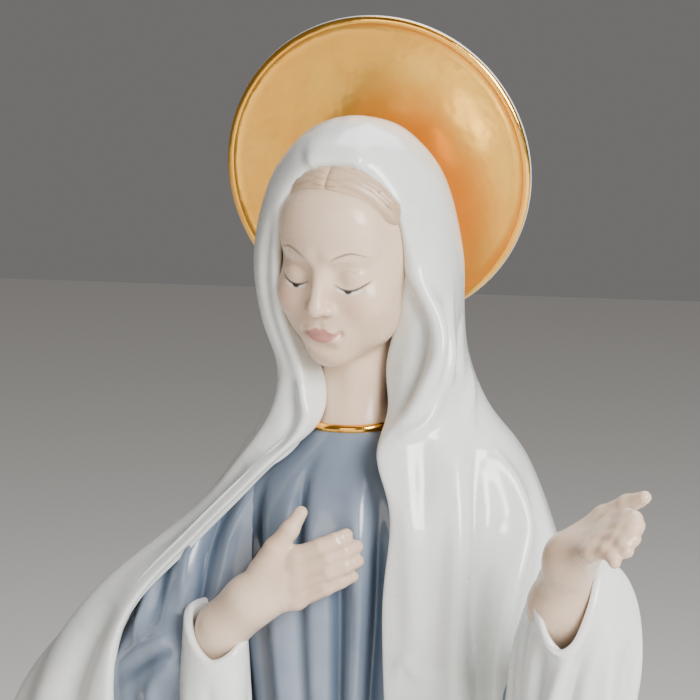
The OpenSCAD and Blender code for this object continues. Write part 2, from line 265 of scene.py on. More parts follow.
class Field:
    """A signed distance field on a box of points in mm, which shapes are blended into."""

    def __init__(self, low, high, step):
        self.low = np.array(low, dtype=float)
        self.step = step
        axes = [np.arange(a, b + step, step, dtype=np.float32) for a, b in zip(low, high)]
        self.points = np.stack(np.meshgrid(*axes, indexing="ij"), axis=-1)
        self.value = np.full(self.points.shape[:3], FAR, dtype=np.float32)

    def blank(self):
        """An empty field on the same points."""
        other = copy.copy(self)
        other.value = np.full_like(self.value, FAR)
        return other

    def add(self, shape, blend):
        """Join a shape on, with a fillet about as wide as blend."""
        h = np.clip(0.5 + 0.5 * (self.value - shape) / blend, 0, 1)
        self.value = self.value + (shape - self.value) * h - blend * h * (1 - h)

    def cut(self, shape, blend):
        """Take a shape away, with a rounded edge about as wide as blend."""
        h = np.clip(0.5 - 0.5 * (self.value + shape) / blend, 0, 1)
        self.value = self.value + (-shape - self.value) * h + blend * h * (1 - h)

    def mesh(self):
        """Points and quads of the zero surface (surface nets)."""
        v = self.value
        size = np.array(v.shape) - 1
        inside = v < 0
        corners = [(i, j, k) for i in (0, 1) for j in (0, 1) for k in (0, 1)]
        count = sum(inside[i:i + size[0], j:j + size[1], k:k + size[2]].astype(np.int8)
                    for i, j, k in corners)
        cells = np.argwhere((count > 0) & (count < 8))
        index = np.full(size, -1, dtype=np.int64)
        index[tuple(cells.T)] = np.arange(len(cells))
        total = np.zeros((len(cells), 3))
        hits = np.zeros(len(cells))
        for axis in range(3):
            others = [o for o in range(3) if o != axis]
            for i in (0, 1):
                for j in (0, 1):
                    start = np.zeros(3, dtype=int)
                    start[others[0]], start[others[1]] = i, j
                    end = start.copy()
                    end[axis] = 1
                    a = v[tuple((cells + start).T)]
                    b = v[tuple((cells + end).T)]
                    cross = (a < 0) != (b < 0)
                    t = np.where(cross, a / np.where(cross, a - b, 1), 0)
                    total[cross] += (start + t[:, None] * (end - start))[cross]
                    hits += cross
        verts = self.low + self.step * (cells + total / hits[:, None])
        quads = []
        for axis in range(3):
            o1, o2 = [(1, 2), (2, 0), (0, 1)][axis]
            span = [slice(None)] * 3
            nxt = [slice(None)] * 3
            span[axis] = slice(0, -1)
            nxt[axis] = slice(1, None)
            a, b = inside[tuple(span)], inside[tuple(nxt)]
            edges = np.argwhere(a != b)
            edges = edges[(edges[:, o1] > 0) & (edges[:, o2] > 0)
                          & (edges[:, o1] < size[o1]) & (edges[:, o2] < size[o2])]
            step1, step2 = np.eye(3, dtype=int)[[o1, o2]]
            ring = [edges - step1 - step2, edges - step2, edges, edges - step1]
            quad = np.stack([index[tuple(c.T)] for c in ring], axis=-1)
            flip = ~inside[tuple(edges.T)]
            quad[flip] = quad[flip][:, ::-1]
            quads.append(quad)
        return verts, np.concatenate(quads)


def ball(p, at, radii):
    """Distance to an ellipsoid, near enough for blending."""
    q = p - np.float32(at)
    radii = np.broadcast_to(np.float32(radii), (3,))
    k0 = np.linalg.norm(q / radii, axis=-1)
    k1 = np.linalg.norm(q / radii ** 2, axis=-1)
    return np.where(k1 > 1e-6, k0 * (k0 - 1) / np.maximum(k1, 1e-6), -radii.min())


def limb(p, a, b, ra, rb):
    """Distance to a tapered limb with round ends."""
    a, b = np.float32(a), np.float32(b)
    ab = b - a
    t = np.clip(((p - a) @ ab) / (ab @ ab), 0, 1)
    return np.linalg.norm(p - a - t[..., None] * ab, axis=-1) - (ra + (rb - ra) * t)


def add_chain(field, points, radii, blend):
    """Add limbs end to end through the points."""
    for a, b, ra, rb in zip(points, points[1:], radii, radii[1:]):
        field.add(limb(field.points, a, b, ra, rb), blend)


# ---- Materials ----------------------------------------------------------------------------------

def start_material(name):
    """A material with one shader, its node tree and that shader."""
    mat = bpy.data.materials.new(name)
    mat.use_nodes = True
    tree = mat.node_tree
    tree.nodes.clear()
    out = tree.nodes.new("ShaderNodeOutputMaterial")
    shader = tree.nodes.new("ShaderNodeBsdfPrincipled")
    tree.links.new(shader.outputs[0], out.inputs[0])
    return mat, tree, shader


def noise_node(tree, scale, detail=3.0, rough=0.5):
    """Noise in the object's own space; scale is in waves per metre."""
    space = tree.nodes.new("ShaderNodeTexCoord")
    tex = tree.nodes.new("ShaderNodeTexNoise")
    tex.inputs["Scale"].default_value = scale
    tex.inputs["Detail"].default_value = detail
    tex.inputs["Roughness"].default_value = rough
    tree.links.new(space.outputs["Object"], tex.inputs["Vector"])
    return tex.outputs[0]


def paint_node(tree, label):
    """The mask that the mesh's points carry under this name."""
    node = tree.nodes.new("ShaderNodeAttribute")
    node.attribute_name = label
    return node.outputs["Fac"]


def mixed(tree, factor, a, b):
    """A colour between a and b, each a colour or a socket."""
    node = tree.nodes.new("ShaderNodeMix")
    node.data_type = "RGBA"
    for socket, value in ((node.inputs[6], a), (node.inputs[7], b)):
        if isinstance(value, tuple):
            socket.default_value = (*value, 1)
        else:
            tree.links.new(value, socket)
    tree.links.new(factor, node.inputs[0])
    return node.outputs[2]


def ranged(tree, source, from_low, from_high, low, high):
    """The source stretched from one range to another."""
    node = tree.nodes.new("ShaderNodeMapRange")
    tree.links.new(source, node.inputs["Value"])
    values = {"From Min": from_low, "From Max": from_high, "To Min": low, "To Max": high}
    for label, value in values.items():
        node.inputs[label].default_value = value
    return node.outputs["Result"]


def bumped(tree, shader, height, strength, distance):
    """Fine relief on the shader; distance is in metres."""
    node = tree.nodes.new("ShaderNodeBump")
    node.inputs["Strength"].default_value = strength
    node.inputs["Distance"].default_value = distance
    tree.links.new(height, node.inputs["Height"])
    tree.links.new(node.outputs[0], shader.inputs["Normal"])


GLAZE_BLEED = (1.2 * MM, 0.8 * 1.2 * MM, 0.6 * 1.2 * MM)


def glaze(name, thin, thick_and_shaded, rough, coat, bleed, label="pool_and_shade"):
    """Glazed porcelain: colour between thin and thick glaze after noise; the thick colour is also the
    painted shade that the mask lays in valleys and creases, along with the pooled glaze.
    """
    mat, tree, shader = start_material(name)
    cloud = noise_node(tree, 60, 4)
    colour = mixed(tree, ranged(tree, cloud, 0.35, 0.65, 0.1, 0.6), thin, thick_and_shaded)
    # The mask darkens the colour where glaze pools, and it also paints shade into valleys and creases.
    if label:
        colour = mixed(tree, paint_node(tree, label), colour, thick_and_shaded)
    tree.links.new(colour, shader.inputs["Base Color"])
    tree.links.new(ranged(tree, noise_node(tree, 240, 3), 0.3, 0.7, rough * 0.8, rough * 1.3),
                   shader.inputs["Roughness"])
    bumped(tree, shader, noise_node(tree, 420, 2), 0.05, 0.0003)
    shader.inputs["IOR"].default_value = 1.5
    shader.inputs["Coat Weight"].default_value = coat
    shader.inputs["Coat Roughness"].default_value = 0.11
    shader.inputs["Subsurface Weight"].default_value = bleed
    shader.inputs["Subsurface Radius"].default_value = GLAZE_BLEED
    shader.inputs["Subsurface Scale"].default_value = 1.0
    return mat, tree, shader, colour


# The second colour of each glaze is its deep tone. It gives random clouding, and it is also the painted
# shade in valleys and creases.
WHITE, *_ = glaze("white_glaze", (0.80, 0.815, 0.80), (0.64, 0.67, 0.66), 0.3, 0.65, 0.15)
BLUE, *_ = glaze("blue_glaze", (0.23, 0.277, 0.355), (0.08, 0.115, 0.175), 0.2, 0.4, 0.05)
BASE_WHITE, *_ = glaze("base_glaze", (0.80, 0.815, 0.80), (0.70, 0.73, 0.73), 0.12, 0.5, 0.1)
HAND, *_ = glaze("hand_glaze", (0.73, 0.565, 0.435), (0.63, 0.42, 0.29), 0.3, 0.15, 0.3)


def face_material():
    """Skin glaze with the painted details laid over it, each where its mask says."""
    mat, tree, shader, colour = glaze("face_glaze", (0.74, 0.565, 0.42), (0.68, 0.49, 0.35),
                                      0.3, 0.18, 0.3, label=None)
    for label, tint in (("blush", (0.72, 0.36, 0.28)), ("lips", (0.44, 0.13, 0.13)),
                        ("white_of_eye", (0.80, 0.80, 0.78)), ("iris", (0.035, 0.02, 0.012)),
                        ("brows", (0.10, 0.055, 0.035)), ("lashes", (0.025, 0.014, 0.01))):
        colour = mixed(tree, paint_node(tree, label), colour, tint)
    tree.links.new(colour, shader.inputs["Base Color"])
    return mat


GOLD_PALE, GOLD_DEEP = (1.0, 0.56, 0.10), (0.97, 0.44, 0.06)


def gold_material(name, rough, ripple):
    """Fired gold lustre: mirror-like, with the faint clouds and ripples of a brushed-on film."""
    mat, tree, shader = start_material(name)
    cloud = noise_node(tree, 90, 5, 0.6)
    colour = mixed(tree, ranged(tree, cloud, 0.35, 0.7, 0, 1), GOLD_PALE, GOLD_DEEP)
    tree.links.new(colour, shader.inputs["Base Color"])
    shader.inputs["Metallic"].default_value = 1.0
    tree.links.new(ranged(tree, noise_node(tree, 160, 4), 0.3, 0.7, rough * 0.6, rough * 1.6),
                   shader.inputs["Roughness"])
    bumped(tree, shader, noise_node(tree, 55, 4, 0.55), ripple, 0.002)
    return mat


GOLD = gold_material("gold_lustre", 0.16, 0.25)
GOLD_BAND = gold_material("gold_band", 0.12, 0.1)
HAIR, *_ = glaze("hair_glaze", (0.68, 0.505, 0.355), (0.50, 0.32, 0.195), 0.32, 0.15, 0.15)


# ---- Head ---------------------------------------------------------------------------------------

# The skull's centre, and the head's turns about X, Y and Z in degrees
HEAD_AT = np.array([1.0, -7.0, 269.0])
HEAD_BOW, HEAD_LEAN, HEAD_TURN = 15, 4, -11


def turn(axis, degrees):
    """The matrix that turns points about an axis."""
    a = math.radians(degrees)
    c, s = math.cos(a), math.sin(a)
    return np.array({"x": [[1, 0, 0], [0, c, -s], [0, s, c]], "y": [[c, 0, s], [0, 1, 0], [-s, 0, c]],
                     "z": [[c, -s, 0], [s, c, 0], [0, 0, 1]]}[axis])


HEAD_TURNED = turn("z", HEAD_TURN) @ turn("y", HEAD_LEAN) @ turn("x", HEAD_BOW)


def head_local(p):
    """Points in the head's own frame: centre of the skull, face towards -Y, left side at +X."""
    return ((p - HEAD_AT) @ HEAD_TURNED).astype(np.float32)


# Centre and radius of the left eyeball with its lid, in the head's own frame
EYE = np.array([4.75, -9.6, -0.3])
EYE_R = 2.9
LID_DROP = 0.75
NECK_FOOT = 233.5


def lid_edge(x):
    """Height of the lowered upper lid's edge at x, on the side of positive x."""
    across = np.clip((x - EYE[0]) / 2.35, -1, 1)
    return EYE[2] - LID_DROP - LID_DROP * (1 - across ** 2)


def head_field(low, high, step):
    """The head and neck: q is a point in the head's own frame, and m is q folded onto the left side."""
    f = Field(low, high, step)
    q = head_local(f.points)
    m = q.copy()
    m[..., 0] = np.abs(m[..., 0])
    # Skull, face, jaw and its corners, chin, forehead, cheekbones, muzzle and brow ridge
    f.add(ball(q, (0, 1.5, 5.5), (11.0, 13.4, 12.3)), 1)
    f.add(ball(q, (0, -3.0, -1.5), (10.1, 10.2, 13.0)), 4)
    f.add(ball(q, (0, -5.2, -8.6), (8.0, 7.4, 7.4)), 3)
    f.add(ball(m, (4.6, -5.6, -7.6), (4.3, 5.6, 5.4)), 3)
    f.add(ball(q, (0, -10.7, -13.3), (3.5, 2.9, 2.8)), 3.4)
    f.add(ball(q, (0, -8.6, 7.5), (8.2, 4.6, 6.0)), 3)
    f.add(ball(m, (5.7, -8.6, -4.4), (3.8, 4.0, 3.9)), 2.6)
    f.add(ball(q, (0, -10.9, -8.9), (4.3, 3.0, 3.9)), 2.4)
    f.add(limb(m, (1.6, -12.1, 3.5), (6.6, -9.7, 3.9), 1.0, 0.9), 2.0)
    # Eye sockets, upper lids, eyeballs and lower lids
    f.cut(ball(m, (4.6, -14.4, 0.6), (3.1, 2.2, 1.9)), 1.8)
    f.cut(ball(m, (2.5, -13.9, 0.4), (0.9, 1.2, 1.5)), 1.2)
    lid = ball(m, EYE, EYE_R)
    edge = lid_edge(m[..., 0])
    f.add(np.maximum(lid, edge - m[..., 2]), 0.5)
    f.add(ball(m, EYE, EYE_R - 0.28), 0.2)
    low_lid = np.maximum(ball(m, EYE + [0, 0.12, 0.05], EYE_R), m[..., 2] - edge + 0.55)
    f.add(low_lid, 0.5)
    # Nose with its wings and nostrils, the groove below it, lips, and the hollows round them
    f.add(limb(q, (0, -11.9, 2.6), (0, -15.0, -4.0), 1.05, 1.2), 1.4)
    f.add(ball(q, (0, -15.1, -4.7), (1.5, 1.4, 1.25)), 0.9)
    f.add(ball(m, (1.65, -13.6, -5.2), (0.95, 1.25, 0.95)), 0.7)
    f.cut(ball(m, (0.8, -14.5, -6.2), (0.5, 0.8, 0.4)), 0.5)
    f.cut(limb(q, (0, -14.6, -6.6), (0, -14.5, -7.9), 0.35, 0.45), 0.6)
    f.add(ball(m, (1.15, -13.35, -8.75), (1.75, 0.95, 0.62)), 0.45)
    f.add(ball(q, (0, -13.6, -8.95), (0.9, 0.8, 0.6)), 0.4)
    f.add(ball(q, (0, -13.3, -10.15), (2.15, 1.0, 0.78)), 0.4)
    f.cut(ball(q, (0, -14.1, -11.7), (2.4, 0.9, 0.55)), 1.0)
    f.cut(ball(m, (3.1, -13.6, -9.35), (0.5, 0.9, 0.5)), 0.8)
    # Neck, its foot and the two muscles down its front
    p = f.points
    f.add(limb(p, (0.2, -3.4, 236), (1.0, -4.4, 258), 5.3, 4.8), 1.6)
    f.add(ball(p, (0.1, -3.4, 237), (9.0, 8.4, 5.4)), 4.5)
    f.add(limb(p, (2.8, -7.0, 240), (5.0, -5.0, 254), 0.9, 1.1), 2.4)
    f.add(limb(p, (-2.4, -7.0, 240), (-4.0, -5.6, 254), 0.9, 1.1), 2.4)
    f.value = np.maximum(f.value, NECK_FOOT - p[..., 2])
    return f


def stroke_mask(x, z, line, half, blur=0.12):
    """Paint along a smooth line of (x, z, thickness) points."""
    path = spread(np.array(line, dtype=float), 40)
    best = np.full(x.shape, 9.0)
    for k in range(len(path) - 1):
        a, b = path[k, :2], path[k + 1, :2]
        ab = b - a
        t = np.clip(((x - a[0]) * ab[0] + (z - a[1]) * ab[1]) / max(ab @ ab, 1e-9), 0, 1)
        gap = np.hypot(x - a[0] - t * ab[0], z - a[1] - t * ab[1])
        best = np.minimum(best, gap - half * (path[k, 2] + t * (path[k + 1, 2] - path[k, 2])))
    return 1 - soft(best, -blur, blur)


# Blush on the cheeks, nose, chin and lids: strength, place across and up, half width and height
BLUSHES = [(0.34, 6, -4.6, 2.6, 2.3), (0.10, 0, -4.6, 1.6, 1.6), (0.12, 0, -14, 2.4, 1.8),
           (0.16, EYE[0], EYE[2] + 1.2, 2.2, 0.9)]


def face_paint(verts):
    """Painted details of the face, as masks on its points."""
    q = head_local(verts)
    x, y, z = np.abs(q[:, 0]), q[:, 1], q[:, 2]
    front = soft(-y, 6.5, 8.0)
    edge = lid_edge(x)
    eye, level = EYE[0], EYE[2]
    inner, outer = eye - 2.4, eye + 2.6
    lash_line = [(inner, level - LID_DROP, 0.2), (eye - 1.2, lid_edge(eye - 1.2) - 0.05, 0.8),
                 (eye, lid_edge(eye) - 0.05, 1), (eye + 1.3, lid_edge(eye + 1.3), 1),
                 (outer, level - 0.55, 0.8), (outer + 0.6, level - 0.3, 0.1)]
    crease_line = [(inner + 0.3, level + 0.7, 0.3), (eye, level + 1.75, 1),
                   (outer - 0.2, level + 0.75, 0.4)]
    brow_line = [(2.3, 3.3, 0.25), (3.6, 4.05, 0.9), (5.6, 4.55, 0.8), (7.9, 3.6, 0.1)]
    lashes = stroke_mask(x, z, lash_line, 0.17)
    crease = stroke_mask(x, z, crease_line, 0.07, 0.16)
    brows = stroke_mask(x, z, brow_line, 0.17, 0.16)
    iris = 1 - soft(np.hypot(x - eye + 0.1, z - (level - 1.35)), 0.62, 0.86)
    iris *= soft(edge + 0.05 - z, 0, 0.12)
    iris *= soft(z - (edge - 0.72), -0.1, 0.1)
    white = soft(edge - z, -0.05, 0.1) * soft(z - (edge - 0.62), -0.12, 0.08)
    white *= soft(2.1 - np.abs(x - eye), -0.1, 0.4)
    bow = np.interp(x, [0, 0.75, 3.0], [-8.45, -8.2, -9.35])
    under = -10.95 + 1.6 * (x / 3.0) ** 2
    lips = soft(bow - z, -0.1, 0.14) * soft(z - under, -0.1, 0.2) * soft(3.0 - x, 0, 0.4)
    blush = 0
    for share, at_x, at_z, wide, tall in BLUSHES:
        blush = blush + share * np.exp(-((x - at_x) / wide) ** 2 - ((z - at_z) / tall) ** 2)
    return {"lashes": front * np.clip(lashes + 0.3 * crease, 0, 1), "iris": front * iris,
            "white_of_eye": front * white * 0.8, "brows": front * brows * 0.9,
            "lips": front * lips * 0.8, "blush": front * blush}


def relaxed(verts, faces, passes, share=0.5):
    """The mesh with each point moved towards the middle of its neighbours."""
    edges = np.concatenate([faces[:, [k, (k + 1) % 4]] for k in range(4)])
    for _ in range(passes):
        total = np.zeros_like(verts)
        count = np.zeros(len(verts))
        for a, b in ((0, 1), (1, 0)):
            for axis in range(3):
                total[:, axis] += np.bincount(edges[:, a], verts[edges[:, b], axis], len(verts))
            count += np.bincount(edges[:, a], minlength=len(verts))
        verts = verts + share * (total / count[:, None] - verts)
    return verts


def build_head():
    f = head_field((-13.5, -25.5, 233.0), (14.5, 9.5, 288.0), 0.19)
    verts, faces = f.mesh()
    verts = relaxed(verts, faces, 2)
    new_piece("head_and_neck", verts, faces, ["head"], face_material(),
              paint=face_paint(verts))


def point_normals(verts, faces):
    """Normals of a quad mesh's points."""
    a, b, c, d = (verts[faces[:, k]] for k in range(4))
    face = np.cross(c - a, d - b)
    total = np.zeros_like(verts)
    for k in range(4):
        for axis in range(3):
            total[:, axis] += np.bincount(faces[:, k], face[:, axis], len(verts))
    return unit(total)


# The hair lies on an ellipsoid over the skull. Its locks run from the parting to the temple, between
# the hairline and the veil, two lines of (degrees round from the front, degrees up).
HAIR_AT, HAIR_RADII = np.array([0, 1.2, 5.4]), np.array([11.25, 13.5, 12.6])
HAIRLINE = [(0, 39), (18, 38), (38, 31), (51, 20), (61, 9), (73, -1)]
UNDER_VEIL = [(0, 72), (40, 64), (62, 48), (74, 28), (79, 12), (81, 0)]


def build_hair():
    """Two sheets of waved hair; s runs from the parting to the temple, t from the hairline back."""
    long, wide = ((170, 120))
    for side, name in ((-1, "hair_right"), (1, "hair_left")):
        edge = spread(HAIRLINE, long)
        back = spread(UNDER_VEIL, long)
        t = np.linspace(0, 1, wide)[None, :, None]
        angles = np.radians(edge[:, None] * (1 - t) + back[:, None] * t)
        way = np.stack([np.cos(angles[..., 1]) * np.sin(angles[..., 0]),
                        -np.cos(angles[..., 1]) * np.cos(angles[..., 0]), np.sin(angles[..., 1])], axis=-1)
        s = np.linspace(0, 1, long)[:, None]
        t = t[..., 0]
        strands = 0.09 * np.sin(46 * t + 3.0 * np.sin(3.2 * s) + 5 * s * t)
        strands = (strands + 0.05 * np.sin(107 * t + 6 * s)) * soft(t, 0.04, 0.2)
        waves = 0.14 * np.sin(7 * s + 4 * t) - 0.75 * (1 - soft(t, 0, 0.2)) - 1.3 * soft(t, 0.45, 1.0)
        waves -= 3 * soft(s, 0.62, 1)
        parting = -0.5 * np.exp(-(s / 0.03) ** 2)
        grid = HAIR_AT + HAIR_RADII * way + (strands + waves + parting)[..., None] * way
        grid[..., 0] = side * np.maximum(grid[..., 0], 0.0)
        # Painted shade in the grooves between the strands, over an even share of the darker hair tone.
        groove_shade_and_tone = np.clip(0.45 - 3.6 * strands, 0, 1)
        if side < 0:
            grid, groove_shade_and_tone = grid[:, ::-1], groove_shade_and_tone[:, ::-1]
        verts, faces = thick_sheet(grid @ HEAD_TURNED.T + HEAD_AT, 1.2, 0.6)
        new_piece(name, verts, faces, ["hair_front"], HAIR, np.tile(groove_shade_and_tone.ravel(), 2))


# ---- Hands --------------------------------------------------------------------------------------

RIGHT_WRIST = (-13.0, -21.0, 212.9)
RIGHT_FINGERS = [
    [(-4.9, -21.4, 220.9), (-0.9, -21.8, 222.6), (1.3, -21.2, 223.6), (2.9, -20.0, 224.4)],
    [(-4.6, -21.8, 219.0), (0.4, -22.2, 221.0), (2.9, -21.4, 222.0), (4.6, -20.0, 222.6)],
    [(-4.8, -21.7, 216.4), (0.4, -22.0, 218.5), (3.0, -21.2, 219.5), (4.7, -19.8, 220.2)],
    [(-5.0, -21.2, 213.5), (-0.2, -21.4, 215.8), (2.2, -20.8, 216.9), (3.9, -19.6, 217.6)],
]
RIGHT_THUMB = [(-10.9, -21.2, 218.2), (-8.4, -21.9, 222.0), (-5.9, -22.1, 225.2), (-4.2, -21.6, 228.0)]
RIGHT_ARM = [(-20.8, -18.2, 203.2), (-17.9, -19.6, 208.2), RIGHT_WRIST]

LEFT_WRIST = (44.9, -44.6, 227.2)
LEFT_FINGERS = [
    [(51.6, -47.6, 233.3), (54.6, -50.0, 234.9), (56.0, -51.4, 234.9), (56.8, -52.4, 234.2)],
    [(51.6, -49.5, 232.4), (54.6, -51.9, 233.6), (55.9, -53.2, 233.3), (56.5, -54.1, 232.5)],
    [(51.0, -51.2, 231.2), (53.9, -53.4, 232.1), (55.1, -54.6, 231.7), (55.7, -55.4, 230.8)],
    [(49.8, -52.6, 229.8), (52.4, -54.4, 230.4), (53.5, -55.4, 229.9), (54.0, -56.1, 229.1)],
]
LEFT_THUMB = [(46.4, -44.2, 230.6), (50.0, -44.4, 233.8), (53.8, -46.0, 236.2), (56.8, -47.8, 237.6)]
LEFT_ARM = [(39.0, -29.0, 205.5), (41.8, -38.0, 218.6), LEFT_WRIST]


# Radii from the knuckle to the tip of a finger, each finger's size, and the thumb's radii
FINGER_RADII = (1.5, 1.42, 1.28, 1.08)
FINGER_SIZES = (1, 1.03, 1, 0.88)
THUMB_RADII = (2.1, 1.75, 1.5, 1.1)


def hand_field(low, high, step, fingers, thumb, arm, arm_radii, palm_r, closeness):
    """A forearm and hand; closeness is how far the fingers melt into each other."""
    f = Field(low, high, step)
    p = f.points
    palm = f.blank()
    wrist = arm[-1]
    for knuckle, *_ in fingers:
        palm.add(limb(p, wrist, knuckle, palm_r, 1.35), 1.6)
        palm.add(ball(p, knuckle, 1.3), 0.8)
    palm.add(limb(p, wrist, thumb[1], palm_r * 0.8, 1.5), 2.0)
    add_chain(palm, arm, arm_radii, 3.2)
    for finger, size in zip(fingers, FINGER_SIZES):
        digit = f.blank()
        add_chain(digit, finger, [r * size for r in FINGER_RADII], 0.35)
        f.add(digit.value, closeness)
    f.add(palm.value, 0.9)
    digit = f.blank()
    add_chain(digit, thumb, THUMB_RADII, 0.6)
    f.add(digit.value, 0.9)
    return f


NAIL_LONG, NAIL_WIDE, NAIL_DEEP = 0.75, 0.62, 0.09


def build_hand(name, node, low, high, fingers, thumb, arm, arm_radii, palm_r, closeness, out):
    """A hand with blushed fingertips and shallow nails; out is the way the fingers' backs face."""
    step = 0.2
    f = hand_field(low, high, step, fingers, thumb, arm, arm_radii, palm_r, closeness)
    verts, faces = f.mesh()
    verts = relaxed(verts, faces, 2)
    blush = np.zeros(len(verts))
    nails = np.zeros(len(verts))
    n = point_normals(verts, faces)
    out = np.array(out)
    for digit in fingers + [thumb]:
        tip = np.array(digit[-1])
        way = unit(tip - np.array(digit[-2]))
        blush = np.maximum(blush, 0.35 * np.exp(-(np.linalg.norm(verts - tip, axis=1) / 1.6) ** 2))
        q = verts - (tip + 0.1 * way + 0.8 * unit(out - way * (out @ way)))
        longways = q @ way
        sideways = np.linalg.norm(q - longways[:, None] * way, axis=1)
        nail = 1 - soft(np.hypot(longways / NAIL_LONG, sideways / NAIL_WIDE), 0.8, 1.05)
        nails = np.maximum(nails, nail * soft(n @ unit(out), 0.0, 0.4))
    verts = verts - NAIL_DEEP * nails[:, None] * n
    new_piece(name, verts, faces, [node], HAND, np.clip(blush + 0.3 * nails, 0, 1))


def build_hands():
    build_hand("right_hand_on_heart", "right_hand", (-27, -29, 196), (8.5, -12, 231),
               RIGHT_FINGERS, RIGHT_THUMB, RIGHT_ARM, (3.3, 3.7, 3.5), 3.2, 0.8, (-0.1, -1, 0.1))
    build_hand("left_hand_held_out", "left_hand", (33, -60.5, 200), (61, -23, 241.5),
               LEFT_FINGERS, LEFT_THUMB, LEFT_ARM, (4.5, 4.35, 3.6), 2.8, 1.2, (0.25, 0.3, -0.9))


# ---- Sleeves and cuffs --------------------------------------------------------------------------

def ring_loft(rings, rows, cols):
    """A closed tube through rings of given points, smooth along it and round each ring."""
    tall = spread(np.asarray(rings, dtype=float), rows)
    extra = 2
    wrapped = np.concatenate([tall[:, -extra:], tall, tall[:, :extra + 1]], axis=1)
    u = np.linspace(0, tall.shape[1], cols, endpoint=False) + extra
    i = u.astype(int)
    t = (u - i)[None, :, None]
    return between(wrapped[:, i - 1], wrapped[:, i], wrapped[:, i + 1], wrapped[:, i + 2], t)


SLEEVE_STEP = 0.42


def build_right_sleeve():
    f = Field((-47, -27, 168), (-14, 6, 236), SLEEVE_STEP)
    p = f.points
    f.add(limb(p, (-15, -6.5, 228), (-26, -8.5, 214), 6.6, 7.2), 1)
    f.add(limb(p, (-10, -8, 229), (-18, -9, 212), 6.0, 6.6), 4)
    f.add(limb(p, (-26, -8.5, 214), (-32.5, -11, 198), 7.2, 7.0), 3)
    f.add(limb(p, (-32.5, -11, 198), (-27, -15, 202), 7.0, 6.2), 4)
    f.add(ball(p, (-31.5, -12, 187), (6.6, 6.4, 16)), 4)
    f.add(ball(p, (-27, -13.5, 190), (5.4, 5.4, 15)), 4)
    verts, faces = f.mesh()
    verts = relaxed(verts, faces, 4)
    height = fold_height(verts, RIGHT_SLEEVE_MARKS)
    verts = verts + height[:, None] * point_normals(verts, faces)
    # The valleys take the darker blue, as pooled glaze and as painted shade, deeper where they sink
    # further.
    new_piece("right_sleeve_blue", verts, faces, ["right_sleeve"], BLUE,
              np.clip(-height / 0.8, 0, 1))


# Folds drawn along lines: how far each stands out, its half width, and its line, in mm
RIGHT_SLEEVE_MARKS = [
    (0.8, 1.2, [(-14, -14, 231), (-18, -15.5, 223), (-20, -16, 214), (-21, -17, 208)]),
    (-1.2, 1.3, [(-17, -13, 231), (-21, -14.5, 222), (-22.5, -15.5, 213), (-23, -17, 207)]),
    (0.9, 1.3, [(-21, -12, 228), (-25, -14.5, 219), (-26, -16, 210)]),
    (-1.0, 1.4, [(-24, -11, 225), (-29, -14, 214), (-30, -17, 206)]),
    (0.8, 1.4, [(-28, -12, 219), (-33, -15, 209), (-32, -18, 203)]),
    (0.6, 1.1, [(-26, -20.5, 207), (-29.5, -19.5, 205), (-34, -17.5, 202), (-38, -15, 198)]),
    (-0.6, 1.1, [(-26, -20.5, 204), (-30, -19.5, 202), (-35, -17.5, 198.5)]),
    (0.9, 1.2, [(-27, -20.5, 201), (-30, -20, 197), (-31, -19.5, 188), (-31, -18.5, 178)]),
    (-1.0, 1.3, [(-33, -19.5, 198), (-34, -19, 188), (-34.5, -18.5, 177)]),
    (0.9, 1.5, [(-37.5, -16.5, 196), (-38.5, -15.5, 187), (-38.5, -15, 178)]),
]


# The right cuff: its rim, then the middle, half width and half depth of the hanging part, and the
# folds that run down it (as hanging_folds takes them)
RIGHT_CUFF_RIM = [(-24.4, -19.5, 211.3), (-23.2, -15, 212), (-19.8, -13.6, 212), (-16, -15.5, 210.6),
                  (-13.6, -20, 207.6), (-14.6, -23.6, 205.2), (-18.6, -24.8, 203.6), (-22.6, -23.4, 207.3)]
RIGHT_CUFF_LEVELS = [(-19.4, -19, 199, 5.9, 5.2), (-19.2, -18.6, 190, 6.2, 5.0),
                     (-19, -18.2, 181, 6.8, 4.8), (-18.8, -18, 173, 7.3, 4.6)]
RIGHT_CUFF_FOLDS = [(0.06, 0.08, 206, -0.7, 1.5), (0.24, 0.22, 205, 0.6, 1.7), (0.5, 0.52, 205, -0.6, 1.4),
                    (0.64, 0.62, 203, 0.8, 1.7), (0.73, 0.74, 204, -0.9, 1.4), (0.88, 0.86, 203, 0.7, 1.7)]


def build_right_cuff():
    a = np.radians(180 - 45 * np.arange(8))
    rings = [RIGHT_CUFF_RIM]
    for x, y, z, wide, deep in RIGHT_CUFF_LEVELS:
        rings.append(np.stack([x + wide * np.cos(a), y + deep * np.sin(a), z + 0 * a], axis=-1))
    grid = ring_loft(rings, 160, 200)
    height = hanging_folds(grid, (173, 205), RIGHT_CUFF_FOLDS, 14, closed=True)
    verts, faces, pool_and_shade = folded_sheet(grid, height, 1.2, 1.6, 1.2, closed=True)
    new_piece("right_cuff_white", verts, faces, ["right_cuff"], WHITE, pool_and_shade)


def build_left_sleeve():
    f = Field((18, -33, 172), (46, 6, 232), SLEEVE_STEP)
    p = f.points
    f.add(limb(p, (18, -5, 226), (24.5, -6, 212), 5.2, 4.8), 1)
    f.add(limb(p, (24.5, -6, 212), (28.5, -10.5, 199), 4.8, 4.4), 3)
    f.add(limb(p, (28.5, -10.5, 199), (31, -14, 198), 4.4, 4.2), 3)
    f.add(ball(p, (29.3, -13.8, 188), (3.8, 4.8, 9)), 3)
    verts, faces = f.mesh()
    verts = relaxed(verts, faces, 4)
    new_piece("left_sleeve_blue", verts, faces, ["left_sleeve"], BLUE)


